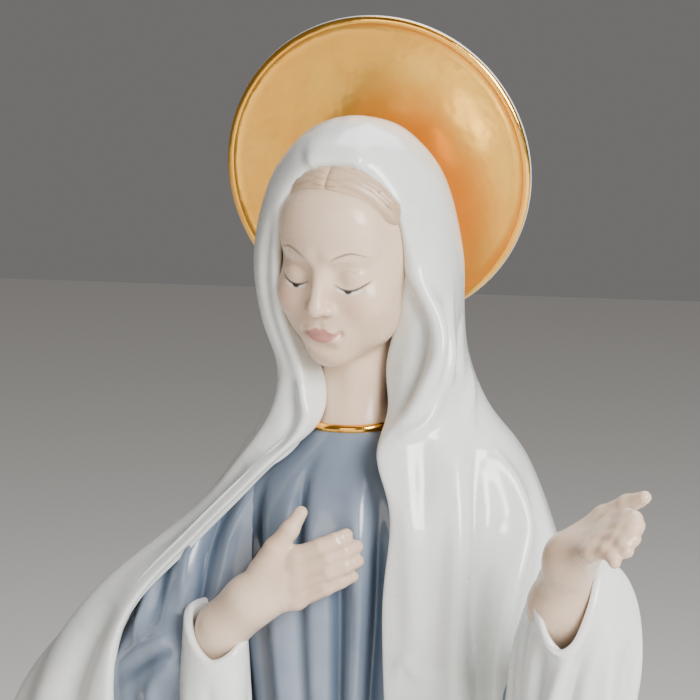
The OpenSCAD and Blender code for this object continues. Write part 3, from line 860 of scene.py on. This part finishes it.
# Rings of the left cuff, from the mouth back to the elbow. Each starts above the forearm and
# goes round by the outer side, the bottom and the inner side.
LEFT_CUFF_NET = [
    [(43.5, -38, 226.5), (47.6, -39.5, 225), (47.9, -41.5, 222), (47.2, -43, 218.2), (45.3, -43.9, 213.6),
     (42.6, -44, 212.0), (40.1, -43.5, 213.8), (38.6, -42.5, 218.2), (38.4, -41, 222.4), (40, -39, 226)],
    [(43.5, -35.5, 227), (48.6, -36.5, 226.2), (51.6, -36.8, 223.4), (53.4, -37, 218.4),
     (53.2, -37.2, 212), (50, -39.5, 206.5), (45.5, -41.5, 205.5), (40.5, -41, 206.5), (37, -39.5, 212),
     (37.3, -37.5, 221)],
    [(41, -31, 222), (46, -33, 223), (51, -34, 220.5), (53.2, -33.5, 213), (53, -33.5, 202),
     (49, -34.5, 192), (44, -36, 188.5), (38, -36, 192), (33.8, -34, 202), (34.5, -31.5, 216)],
    [(38, -22, 212), (42, -22, 210.5), (46, -21.5, 206.5), (47, -19.5, 201), (45.5, -18, 194),
     (41.5, -17.5, 189), (37, -19, 187.5), (32.5, -21, 190), (29.5, -22, 198), (32, -22, 208)],
    [(35, -14, 206), (38, -13.5, 205), (41, -13, 202.5), (41.5, -12.5, 198), (40.5, -12, 193.5),
     (37, -12, 190), (33.5, -13, 189), (30.5, -14, 191.5), (29, -14.5, 197), (31, -14.5, 203)],
]
LEFT_CUFF_MARKS = [
    (-1.3, 1.2, [(48.6, -41.5, 218), (47, -42.5, 212), (45, -42, 207), (43, -40.5, 200), (42, -38, 192)]),
    (0.9, 1.3, [(44.5, -43.5, 212), (42.5, -42.5, 207.5), (40.5, -40.5, 201), (39, -38, 194)]),
    (-1.0, 1.2, [(39.5, -42.5, 212.5), (38.2, -41, 206), (37, -38.5, 198)]),
    (1.0, 1.6, [(50.5, -40, 216), (50, -40, 209), (48.5, -38.5, 201), (46.5, -36, 193)]),
    (-1.0, 1.3, [(53.2, -37.5, 214), (52, -37.5, 207), (50.5, -35, 198)]),
    (0.6, 1.4, [(35, -32, 214), (33, -31, 206), (32, -28, 198)]),
]


def build_left_cuff():
    grid = blurred(ring_loft(LEFT_CUFF_NET, 160, 220), 16, closed=True)
    height = fold_height(grid, LEFT_CUFF_MARKS) * soft(edge_distance(grid, closed=True), 0.5, 3)
    verts, faces, pool_and_shade = folded_sheet(grid, height, 1.2, 1.4, 1.2, closed=True)
    new_piece("left_cuff_white", verts, faces, ["left_cuff"], WHITE, pool_and_shade)


# ---- Halo ---------------------------------------------------------------------------------------

# The halo's centre, how far it leans back in degrees, its radius, and the radius of its rolled rim
HALO_AT = np.array([-0.5, 13.5, 280.0])
HALO_LEAN = 8
HALO_R = 26.0
HALO_ROLL = 0.85
HALO_WOBBLE = 0.12
# Radius of the pinhole at the middle of every turned piece, too small to see
CENTRE = 0.02


def lathe(profile, cols, wobble=0.0):
    """A solid turned about Z from (radius, height) points in mm; wobble makes it a little uneven."""
    a = np.linspace(0, 2 * math.pi, cols, endpoint=False)
    r, z = np.array(profile, dtype=float).T
    grid = np.stack([r[:, None] * np.cos(a), r[:, None] * np.sin(a), z[:, None] + 0 * a], axis=-1)
    grid[..., 2] += wobble * (r[:, None] / HALO_R) * np.sin(2 * a + 0.6) * np.cos(3 * a - 1.1)
    return grid.reshape(-1, 3), grid_faces(len(profile), cols, closed=True)


def on_halo(points):
    """Points of a dish that lies flat, stood up behind the head."""
    lean = turn("x", 90 + HALO_LEAN)
    return points @ lean.T + HALO_AT


def arc(centre, radius, start, end, count):
    """Points of an outline along an arc, from one angle to another in degrees."""
    a = np.radians(np.linspace(start, end, count))
    return [(centre[0] + radius * math.cos(k), centre[1] + radius * math.sin(k)) for k in a]


def build_halo():
    """A gilt dish in front, whose gold runs over the rolled rim, and a white glazed back."""
    cols = 420
    rim, flat_r = (HALO_R - HALO_ROLL, 0.2), HALO_R - 2 * HALO_ROLL
    face = [(CENTRE + k * (flat_r - 0.5) / 40, 0.10 + 0.55 * (k / 40) ** 2) for k in range(41)]
    face += arc(rim, HALO_ROLL, 128, 25, 16)
    under = [(r - 0.12 if r > 1 else CENTRE, z - 0.22) for r, z in face[::-1]]
    verts, faces = lathe(face + under, cols, HALO_WOBBLE)
    new_piece("halo_gilt_face", on_halo(verts), faces, ["halo_disc"], GOLD, paint={})
    back = arc(rim, HALO_ROLL, 23, -96, 22)
    back += [(flat_r * (1 - k / 24) + CENTRE, -0.55 - 0.35 * (k / 24)) for k in range(1, 25)]
    inside = [(CENTRE, -0.1)] + [(r, z - 0.2) for r, z in face[:40:4]]
    inside += [(flat_r, 0.1), (HALO_R - 0.12, 0.25)]
    verts, faces = lathe(back + inside, cols, HALO_WOBBLE)
    new_piece("halo_white_back", on_halo(verts), faces, ["halo_rim"], WHITE)


# ---- Base ---------------------------------------------------------------------------------------

PLINTH_R, PLINTH_H, PLINTH_EDGE = 45.0, 9.0, 1.8
# The cloud is a disc with a ring of large puffs and a ring of small ones
CLOUD_R, CLOUD_MIDDLE, CLOUD_HALF, CLOUD_FOOT = 38, 13, 6, 8.6
LARGE_PUFFS, LARGE_RING = 13, 39
SMALL_PUFFS, SMALL_RING = 17, 44.5


def build_plinth():
    side, edge = PLINTH_R - PLINTH_EDGE, PLINTH_EDGE
    outline = [(CENTRE, 0), (side - 1, 0)] + arc((side, edge), edge, -90, 0, 10)
    outline += arc((side, PLINTH_H - edge), edge, 0, 90, 10)
    outline += [(PLINTH_R - 6, PLINTH_H), (CENTRE, PLINTH_H)]
    verts, faces = lathe(outline, 240)
    new_piece("plinth_glazed", verts, faces, ["base_plinth"], BASE_WHITE)


def build_cloud():
    f = Field((-54, -54, 5), (54, 54, 23), 0.75)
    p = f.points
    across = np.hypot(p[..., 0], p[..., 1])
    f.add(np.maximum(across - CLOUD_R, np.abs(p[..., 2] - CLOUD_MIDDLE) - CLOUD_HALF), 1)
    for k in range(LARGE_PUFFS):
        a = 2 * math.pi * k / LARGE_PUFFS
        size = 12.5 - 1.2 * (k % 3)
        at = (LARGE_RING * math.cos(a), LARGE_RING * math.sin(a), 12)
        f.add(ball(p, at, (size, size, 0.75 * size)), 1.6)
    for k in range(SMALL_PUFFS):
        a = 2 * math.pi * (k + 0.4) / SMALL_PUFFS
        size = 6.2 + 1.1 * math.sin(2.4 * k)
        at = (SMALL_RING * math.cos(a), SMALL_RING * math.sin(a), 12.5 + 2.2 * math.sin(1.7 * k))
        f.add(ball(p, at, size), 1.4)
    f.value = np.maximum(f.value, CLOUD_FOOT - p[..., 2])
    verts, faces = f.mesh()
    verts = relaxed(verts, faces, 3)
    new_piece("cloud_of_puffs", verts, faces, ["cloud_mound"], BASE_WHITE)


# ---- Veil and mantle ----------------------------------------------------------------------------

CLOTH_T = 2.0
CLOTH_ROLL = 1.6

# From the right front edge round the back to the left front edge, level by level from the hem up.
# The first and last points of a level are the edges, which turn in towards the gown, neck and face.
CLOAK_NET = [
    [(-32, -19, 54), (-34, -21.5, 54), (-43, -20, 50), (-50, -4, 46), (-46, 10, 42), (-42, 20, 36),
     (-22, 28, 29), (0, 31, 26), (22, 28, 29), (42.5, 20, 36), (46, 9, 40), (46, -5, 43), (35, -26, 48),
     (19, -30, 51), (17.5, -27.5, 51)],
    [(-31, -16.5, 100), (-33, -18.5, 100), (-45, -19, 96), (-54, -5, 92), (-49, 10, 90), (-41, 18.5, 88),
     (-21, 25, 85), (0, 28, 84), (21, 25, 85), (41.5, 18.5, 88), (45, 8, 90), (45, -5, 91),
     (33, -23.5, 95), (16.5, -26, 98), (15, -23.8, 98)],
    [(-30, -15, 140), (-32, -17, 140), (-48, -17, 136), (-60.5, -5, 132), (-51, 8, 130), (-39.5, 16, 128),
     (-20, 22.5, 126), (0, 25, 126), (20, 22.5, 126), (39, 16, 129), (43.5, 7, 130), (43, -5, 132),
     (30, -21, 138), (13.5, -22.5, 140), (12, -20.5, 140)],
    [(-34.5, -16, 176), (-36.5, -18.3, 176), (-52, -14, 173), (-64, -4, 168), (-52, 8, 165),
     (-37.5, 14, 163), (-19, 20, 162), (0, 22, 162), (19, 20, 162), (36.5, 14, 167), (41, 6, 168),
     (40, -5, 171), (27, -18.5, 177), (11.5, -20.5, 178), (10, -18.5, 178)],
    [(-37, -16.5, 195), (-39, -18.8, 195), (-50, -13, 195), (-59.5, -4, 191), (-49, 6.5, 188),
     (-36, 12.5, 185), (-18, 18, 185), (0, 20, 186), (18, 18, 186), (34.5, 12, 190), (38.5, 4.5, 191),
     (38, -6, 193), (26, -18.7, 198), (10.6, -20.8, 199), (9.2, -18.8, 199)],
    [(-34, -16, 209.5), (-35.5, -18.2, 209.5), (-42, -12, 210), (-46.5, -3, 207), (-40.5, 6, 204),
     (-31, 11.5, 203), (-16, 16.5, 204), (0.5, 18.5, 205), (17, 16.5, 204), (33, 11, 205), (36, 3, 206),
     (35, -6, 208), (24.5, -18.5, 213), (10.4, -21.2, 214), (9, -19.2, 214)],
    [(-22.5, -15, 222.5), (-23.8, -17.2, 222.5), (-28.5, -11.5, 222.5), (-31, -2, 220.5),
     (-29.5, 5.5, 218.5), (-26, 10, 217.5), (-14.5, 15, 219.5), (0.5, 17, 222), (16, 15, 220),
     (30, 10, 219), (33, 3, 220), (32.5, -6, 222.5), (23, -17.5, 226), (11.6, -21, 227.5),
     (10, -19, 227.5)],
    [(-11, -13.6, 234), (-12.6, -15.8, 233.8), (-17.5, -12, 233.5), (-21, -3.5, 233), (-21.5, 4, 232.5),
     (-20, 9, 232), (-12, 13.7, 233.5), (0.5, 16, 236), (14.5, 13.7, 234.5), (24.5, 9, 233.5),
     (27.5, 3.5, 234.5), (27, -6, 236), (19, -15.5, 237), (8.6, -19, 237.5), (7, -16.8, 237.5)],
    [(-3.5, -10, 241), (-5.8, -13.6, 241.5), (-11, -11.5, 241.5), (-15.2, -4, 241.5), (-15.8, 3, 242),
     (-14.5, 8, 242), (-8.5, 12.3, 243), (0.5, 14.5, 243.5), (10, 12.5, 243), (17.5, 8.5, 242.5),
     (21, 3, 243), (21.5, -5, 243.5), (17.5, -12.5, 243.5), (12, -15.8, 244), (6.8, -10.3, 243.5)],
    [(-4, -7, 249.5), (-6.8, -11.8, 249.5), (-10.8, -10.5, 249.5), (-12.8, -4.5, 249.5), (-13, 3, 250),
     (-11.8, 8, 250), (-7.2, 12.2, 250.5), (0.5, 13.8, 251), (8.5, 12.4, 250.5), (14.5, 8.5, 250.5),
     (17.6, 3, 251), (18.8, -5.5, 251.5), (18.4, -11.8, 251.5), (15.6, -14.6, 251.2), (6.0, -8.8, 250.5)],
    [(-8.6, -11.2, 258), (-10.4, -13, 258), (-13.6, -11, 258), (-15.4, -5, 258), (-15, 3, 258.3),
     (-12.5, 8.3, 258.5), (-7, 12, 258.8), (0.5, 13.2, 259), (8, 12.2, 258.8), (13.6, 8.6, 258.6),
     (16.8, 3, 258.6), (17.6, -5.5, 258.8), (17, -11, 259), (14.8, -13.8, 259), (8.0, -9.4, 259)],
    [(-9.3, -13, 268), (-11.2, -14.2, 268), (-14.4, -11.8, 268), (-16.6, -5, 268), (-15.8, 3, 268),
     (-12.3, 8, 268), (-6.5, 11.3, 268), (0.5, 12.2, 268), (7.5, 11.4, 268), (13.3, 8.2, 268),
     (16.6, 3, 268), (17, -5, 268), (15.2, -11.5, 268), (12.4, -14.2, 268), (10.1, -12.9, 268)],
    [(-8.2, -15.2, 276), (-9.8, -15.9, 277), (-12.2, -12.8, 278.2), (-13.9, -6, 279.5),
     (-12.9, 1.5, 280.5), (-9.6, 6, 281), (-5, 8.5, 281.3), (0.5, 9.2, 281.5), (6, 8.5, 281.3),
     (10.6, 6, 281), (13.8, 1.5, 280.5), (14.8, -6, 279.5), (13, -12.8, 278.4), (10.6, -16, 277.5),
     (9, -15.4, 276.5)],
    [(-4.7, -16.3, 280.2), (-6, -17.6, 281.8), (-8, -15, 283.8), (-9, -10, 285.8), (-8, -3, 287.5),
     (-5.8, 1.5, 288), (-2.8, 3.5, 288.2), (0.5, 4.2, 288.3), (3.8, 3.5, 288.2), (6.8, 1.5, 288),
     (9, -3, 287.5), (10, -10, 285.8), (9, -15, 283.9), (7, -17.6, 282), (5.6, -16.4, 280.4)],
]

# The last levels close the hood over the forehead, ending in a line tucked under its lip. Each runs
# from the lip to the middle, and the other half mirrors it about the middle of the hood.
HOOD_MIDDLE = 0.5
HOOD_FRONT = [
    [(-4.2, -16.3, 281.2), (-5, -17.9, 282.6), (-5.8, -16, 285), (-6, -12.8, 287.3), (-5, -9, 288.9),
     (-3.4, -6.4, 289.9), (-1.6, -5, 290.3), (0.5, -4.6, 290.5)],
    [(-3.7, -16.5, 281.6), (-4.3, -18.1, 283), (-4.7, -17.3, 285), (-4.5, -15.8, 286.7), (-3.6, -14, 288),
     (-2.4, -12.8, 288.8), (-1.1, -12.1, 289.2), (0.5, -11.9, 289.4)],
    [(-3.3, -16.7, 281.9), (-3.8, -18.3, 283.3), (-4, -18.2, 284.6), (-3.6, -17.8, 285.7),
     (-2.8, -17.5, 286.4), (-1.8, -17.3, 286.8), (-0.7, -17.2, 287), (0.5, -17.2, 287.1)],
    [(-3.1, -16.8, 282), (-3.4, -18.4, 283.3), (-3.4, -18.6, 284), (-2.9, -18.6, 284.5),
     (-2.2, -18.6, 284.8), (-1.4, -18.6, 284.9), (-0.5, -18.6, 285), (0.5, -18.6, 285)],
    [(-2.9, -16.8, 282.1), (-2.9, -18.2, 283.1), (-2.6, -18.4, 283.5), (-2.1, -18.5, 283.6),
     (-1.5, -18.5, 283.7), (-0.9, -18.5, 283.7), (-0.2, -18.5, 283.7), (0.5, -18.5, 283.7)],
    [(-2.7, -16.9, 282.2), (-2.4, -16.9, 282.3), (-2, -16.9, 282.4), (-1.5, -16.9, 282.4),
     (-1, -16.9, 282.5), (-0.5, -16.9, 282.5), (0, -16.9, 282.5), (0.5, -16.9, 282.5)],
]
CLOAK_NET += [half + [(2 * HOOD_MIDDLE - x, y, z) for x, y, z in half[-2::-1]] for half in HOOD_FRONT]

# Folds drawn along lines: how far each stands out, its half width, and its line, in mm.
CLOAK_MARKS = [
    (1.0, 1.1, [(11, -18, 239.5), (13, -16.5, 241), (14.5, -15.5, 242), (16, -14, 245),
                (17.5, -13, 248.5)]),
    (1.5, 1.5, [(11.5, -13.5, 266), (14.5, -14, 262.5), (17, -13.5, 258), (16.8, -14, 253),
                (14.5, -15, 247.5), (11.5, -16.5, 242)]),
    (-1.7, 1.5, [(9.8, -13, 265), (12.6, -12.5, 261), (13.8, -12.5, 257), (13, -12.5, 252.5),
                 (11, -13.5, 247), (9, -14.5, 243)]),
    (-0.9, 1.0, [(16.5, -10.5, 261.5), (17.5, -12, 255.5), (18, -13.5, 251.5), (16.5, -14.3, 247.5)]),
    (0.5, 1.0, [(17, -7, 263), (18.5, -11, 254), (18, -12.5, 247)]),
    (-1.0, 1.1, [(17.5, -2.5, 257.5), (18.5, -7.5, 253), (19, -10.5, 249)]),
    (0.6, 1.4, [(18.5, -2, 250), (20, -8, 244), (20.5, -11, 238)]),
    (-0.8, 1.8, [(14.5, -15.8, 240.5), (15.5, -18.5, 233.5), (15.5, -20.5, 226)]),
    (1.5, 2.1, [(19.5, -13.5, 240.5), (20.5, -17, 230.5), (21, -19, 221), (21, -20, 206),
                (21, -19.5, 192), (20, -20, 174)]),
    (-2.0, 1.6, [(22.4, -12, 239), (23.5, -16, 230.5), (24.2, -18.3, 221), (24.4, -19.3, 208),
                 (24.4, -19.5, 194), (24, -19.5, 178)]),
    (2.6, 1.9, [(24, -10, 238), (27.5, -9, 232.5), (29.5, -10, 226), (29.5, -12.5, 220.5),
                (28.5, -15, 214), (28, -16.5, 206)]),
    (-2.8, 1.7, [(27, -13.5, 226), (26, -16.5, 219), (25.5, -18, 213), (25, -19.2, 205),
                 (25, -19.5, 196)]),
    (-1.0, 2.0, [(28, -4, 233), (31.5, -6, 226), (33, -9, 218), (32, -13, 210)]),
    (0.7, 1.3, [(11.5, -21, 201), (13, -21, 204), (15.5, -21, 202.5), (19, -20.5, 203)]),
    (0.9, 2.0, [(14, -20.5, 232), (14, -21.3, 224), (14.5, -21.3, 212), (14, -21, 204)]),
    (-0.8, 1.0, [(-10.8, -15.2, 275), (-12.2, -13.8, 269), (-12.5, -13, 262.5), (-11, -12.5, 256),
                 (-9.5, -12, 250.5)]),
    (0.5, 1.0, [(-10, -14.5, 271), (-10.5, -13.5, 265), (-10, -13, 258), (-7.5, -12, 251),
                (-6.3, -12.3, 246)]),
    (0.8, 1.0, [(-7, -12.4, 248), (-6.4, -12.8, 245), (-5.6, -13, 241.5)]),
    (-1.2, 1.7, [(-9.5, -12, 249), (-8.5, -13, 243.5), (-9.5, -13.8, 239.5), (-13, -14, 236)]),
    (0.8, 1.8, [(-12, -11, 248), (-13, -10.5, 242), (-16, -11, 236.5), (-22, -11.5, 230)]),
    (-0.9, 1.8, [(-15.5, -13.5, 234.5), (-20, -13, 230), (-25, -13, 225), (-31, -13, 219.5)]),
    (1.0, 2.6, [(-26, -8, 226), (-35, -10, 217), (-44, -10, 207), (-52, -9, 195)]),
    (-1.3, 2.6, [(-37.5, -16, 211), (-42, -16.5, 203), (-45, -16, 194), (-47, -16, 180)]),
    (1.2, 3.0, [(-44, -13, 206), (-51, -12.5, 193), (-54, -12.5, 178), (-54, -13, 160)]),
    (-1.3, 3.0, [(-48, -7, 203), (-58, -8, 185), (-61, -8, 165), (-58, -10, 140)]),
]

# Folds that hang to the hem: share of the width at the hem and at the shoulders, top, height, half width
CLOAK_FOLDS = [
    (0.05, 0.07, 170, -2.2, 6), (0.095, 0.12, 180, 2.1, 7), (0.14, 0.2, 215, 2.2, 8),
    (0.18, 0.235, 200, -2.3, 6), (0.215, 0.26, 190, 1.5, 6), (0.255, 0.3, 205, -2.6, 6.5),
    (0.295, 0.33, 222, 2.5, 8), (0.34, 0.37, 195, -2.8, 6.5), (0.38, 0.405, 228, 2.8, 8),
    (0.415, 0.43, 185, -2.3, 6), (0.45, 0.455, 232, 2.6, 7.5), (0.485, 0.48, 200, -3, 6.5),
    (0.52, 0.51, 233, 2.9, 8), (0.56, 0.545, 195, -2.9, 6.5), (0.595, 0.575, 230, 2.8, 8),
    (0.635, 0.61, 190, -2.8, 6.5), (0.675, 0.64, 225, 2.5, 8), (0.715, 0.675, 200, -2.6, 6),
    (0.75, 0.71, 220, 2.2, 7), (0.79, 0.75, 185, -2.5, 6), (0.83, 0.79, 195, 2, 6.5),
    (0.865, 0.83, 165, -2.3, 5.5), (0.9, 0.87, 160, 1.9, 6), (0.935, 0.91, 150, -2, 5),
]
SHOULDER, HEM = 230, 40
# A long fold reaches its full depth this far below its top.
FOLD_RAMP = 110
HOOD_SHARE = 0.62
# Where the hood is smoothed over the brow: it fades in over these heights and distances forward
BROW_UP, BROW_FRONT = (278, 282), (9, 13)


def smooth_brow(grid):
    """Even out, in place, the hood's crowded points over the forehead, with its borders held."""
    rows, cols = grid.shape[:2]
    hood = grid[int(HOOD_SHARE * rows):]
    brow = soft(hood[..., 2], *BROW_UP) * soft(-hood[..., 1], *BROW_FRONT)
    brow[:, [0, -1]] = brow[-1] = 0
    passes = 220
    hood[:] = relaxed(hood.reshape(-1, 3), grid_faces(len(hood), cols), passes,
                      0.8 * brow.reshape(-1, 1)).reshape(hood.shape)


def build_cloak():
    """The veil and mantle, one cloth from the forehead to the hem."""
    rows, cols = ((520, 320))
    grid = surface_of([row[::-1] for row in CLOAK_NET], rows, cols)
    grid = blurred(grid, 30)
    smooth_brow(grid)
    height = fold_height(grid, CLOAK_MARKS) + hanging_folds(grid, (HEM, SHOULDER), CLOAK_FOLDS, FOLD_RAMP)
    verts, faces, pool_and_shade = folded_sheet(grid, height, 1.5, CLOTH_T, CLOTH_ROLL)
    new_piece("veil_and_mantle", verts, faces,
              ["veil_hood", "mantle_back", "mantle_right_wing", "mantle_left_front"], WHITE, pool_and_shade)


# ---- Gown ---------------------------------------------------------------------------------------

# Height, half width, depth in front, depth behind
GOWN_LEVELS = [
    (20, 33, 29, 26), (40, 31, 27, 25), (75, 28, 24.5, 22), (110, 25.5, 21.5, 19),
    (150, 21.5, 17.5, 15.5), (178, 17.5, 15, 12.5), (195, 18.5, 16.5, 12.5), (212, 20.5, 18.5, 12),
    (224, 21, 18, 12), (232, 18, 15.5, 11), (238, 11.5, 12.5, 7), (240.5, 8.8, 11.2, 5.6),
]
HEM_OF_GOWN, WAIST, NECK = 20, 178, 240
# Place of the front on the gown's ring, as a share of its width, and how many ridges and valleys
FRONT = 0.75
PLEATS = 36


def gown_folds():
    """Ridges and valleys in turn round the gown, uneven as in hand-modelled clay.

    Towards the neck they spread away from the front.
    """
    folds = []
    for k in range(PLEATS):
        hem = (k + 0.5 + 0.22 * math.sin(2.7 * k)) / PLEATS
        waist = hem + 0.007 * math.sin(1.9 * k + 1)
        neck = FRONT + (waist - FRONT) * 1.25
        uneven = 0.3 * math.sin(3.3 * k)
        height, half = (1.1 + uneven, 4.4) if k % 2 else (-1.9 + uneven, 2.6)
        top = 238.5 - 5 * (k % 3)
        folds.append((hem, waist, neck, top, height, half))
    return folds


def build_gown():
    rows, cols = ((440, 640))
    levels = spread(GOWN_LEVELS, rows)
    a = np.linspace(0, 2 * math.pi, cols, endpoint=False)
    z, side, front, back = (levels[:, k:k + 1] for k in range(4))
    deep = np.where(np.sin(a) > 0, back, front)
    grid = np.stack([side * np.cos(a), deep * np.sin(a), z + 0 * a], axis=-1)
    height = hanging_folds(grid, (HEM_OF_GOWN, WAIST, NECK), gown_folds(), 16, closed=True)
    grid = grid + height[..., None] * grid_normals(grid, closed=True)
    split = int(np.argmin(np.abs(levels[:, 0] - WAIST)))
    for name, part, node in (("skirt_of_gown", slice(0, split + 1), "skirt"),
                             ("bodice_of_gown", slice(split, rows), "bodice")):
        verts, faces = thick_sheet(grid[part], 2.4, 1.0, closed=True, flat_rows=True)
        # The pleat valleys take the darker blue, as pooled glaze and as painted shade.
        pool_and_shade = np.tile(np.clip(-height[part] / 1.1, 0, 1).ravel(), 2)
        new_piece(name, verts, faces, [node], BLUE, pool_and_shade)


def glaze_cad_pieces():
    """Better materials on the two CAD pieces that stay visible."""
    for node, material in (("neckline_band", GOLD_BAND), ("halo_peg", BASE_WHITE)):
        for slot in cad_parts[node].material_slots:
            slot.material = material


# ---- Camera, light and floor --------------------------------------------------------------------

FIGURE_MIDDLE = Vector((0, 0, 0.24))
CAMERA_AIM = Vector((-0.0017, -0.0005, 0.2515))
CAMERA_AZIMUTH, CAMERA_LIFT, CAMERA_AWAY = math.radians(15), math.radians(8), 0.7
# Name, place in metres, width, watts and colour of each lamp
LAMPS = (("key", (0.77, -0.7, 0.68), 0.5, 25.5, (1, 0.985, 0.96)),
         ("front", (-0.1, -1.7, 0.5), 0.9, 8, (1, 0.92, 0.8)),
         ("top", (0.1, 0.35, 0.95), 0.6, 8, (0.97, 0.98, 1)))


def build_camera():
    back = Vector((math.sin(CAMERA_AZIMUTH) * math.cos(CAMERA_LIFT),
                   -math.cos(CAMERA_AZIMUTH) * math.cos(CAMERA_LIFT), math.sin(CAMERA_LIFT)))
    data = bpy.data.cameras.new("camera")
    data.lens = 219.6
    data.sensor_width = 36
    data.clip_start = 0.01
    camera = added("camera", data)
    camera.location = CAMERA_AIM + CAMERA_AWAY * back
    camera.rotation_euler = back.to_track_quat("Z", "Y").to_euler()
    bpy.context.scene.camera = camera


def build_floor():
    floor = bpy.data.meshes.new("floor")
    half = 2.0
    corners = [(-half, -half, 0), (half, -half, 0), (half, half, 0), (-half, half, 0)]
    floor.from_pydata(corners, [], [(0, 1, 2, 3)])
    mat, _, shader = start_material("floor")
    shader.inputs["Base Color"].default_value = (0.84, 0.82, 0.79, 1)
    shader.inputs["Roughness"].default_value = 0.7
    floor.materials.append(mat)
    added("floor", floor)


def build_lights():
    for name, place, size, power, colour in LAMPS:
        light = bpy.data.lights.new(name, "AREA")
        light.shape = "RECTANGLE"
        light.size = size
        light.size_y = size * 1.3
        light.energy = power
        light.color = colour
        lamp = added(name, light)
        lamp.location = place
        lamp.rotation_euler = (Vector(place) - FIGURE_MIDDLE).to_track_quat("Z", "Y").to_euler()
    world = bpy.data.worlds.new("studio")
    bpy.context.scene.world = world
    world.use_nodes = True
    background = world.node_tree.nodes["Background"]
    background.inputs["Color"].default_value = (0.62, 0.6, 0.58, 1)
    background.inputs["Strength"].default_value = 0.27


for build in (build_head, build_hair, build_hands, build_right_sleeve, build_right_cuff, build_left_sleeve,
              build_left_cuff, build_halo, build_plinth, build_cloud, build_cloak, build_gown,
              glaze_cad_pieces, build_camera, build_floor, build_lights):
    build()
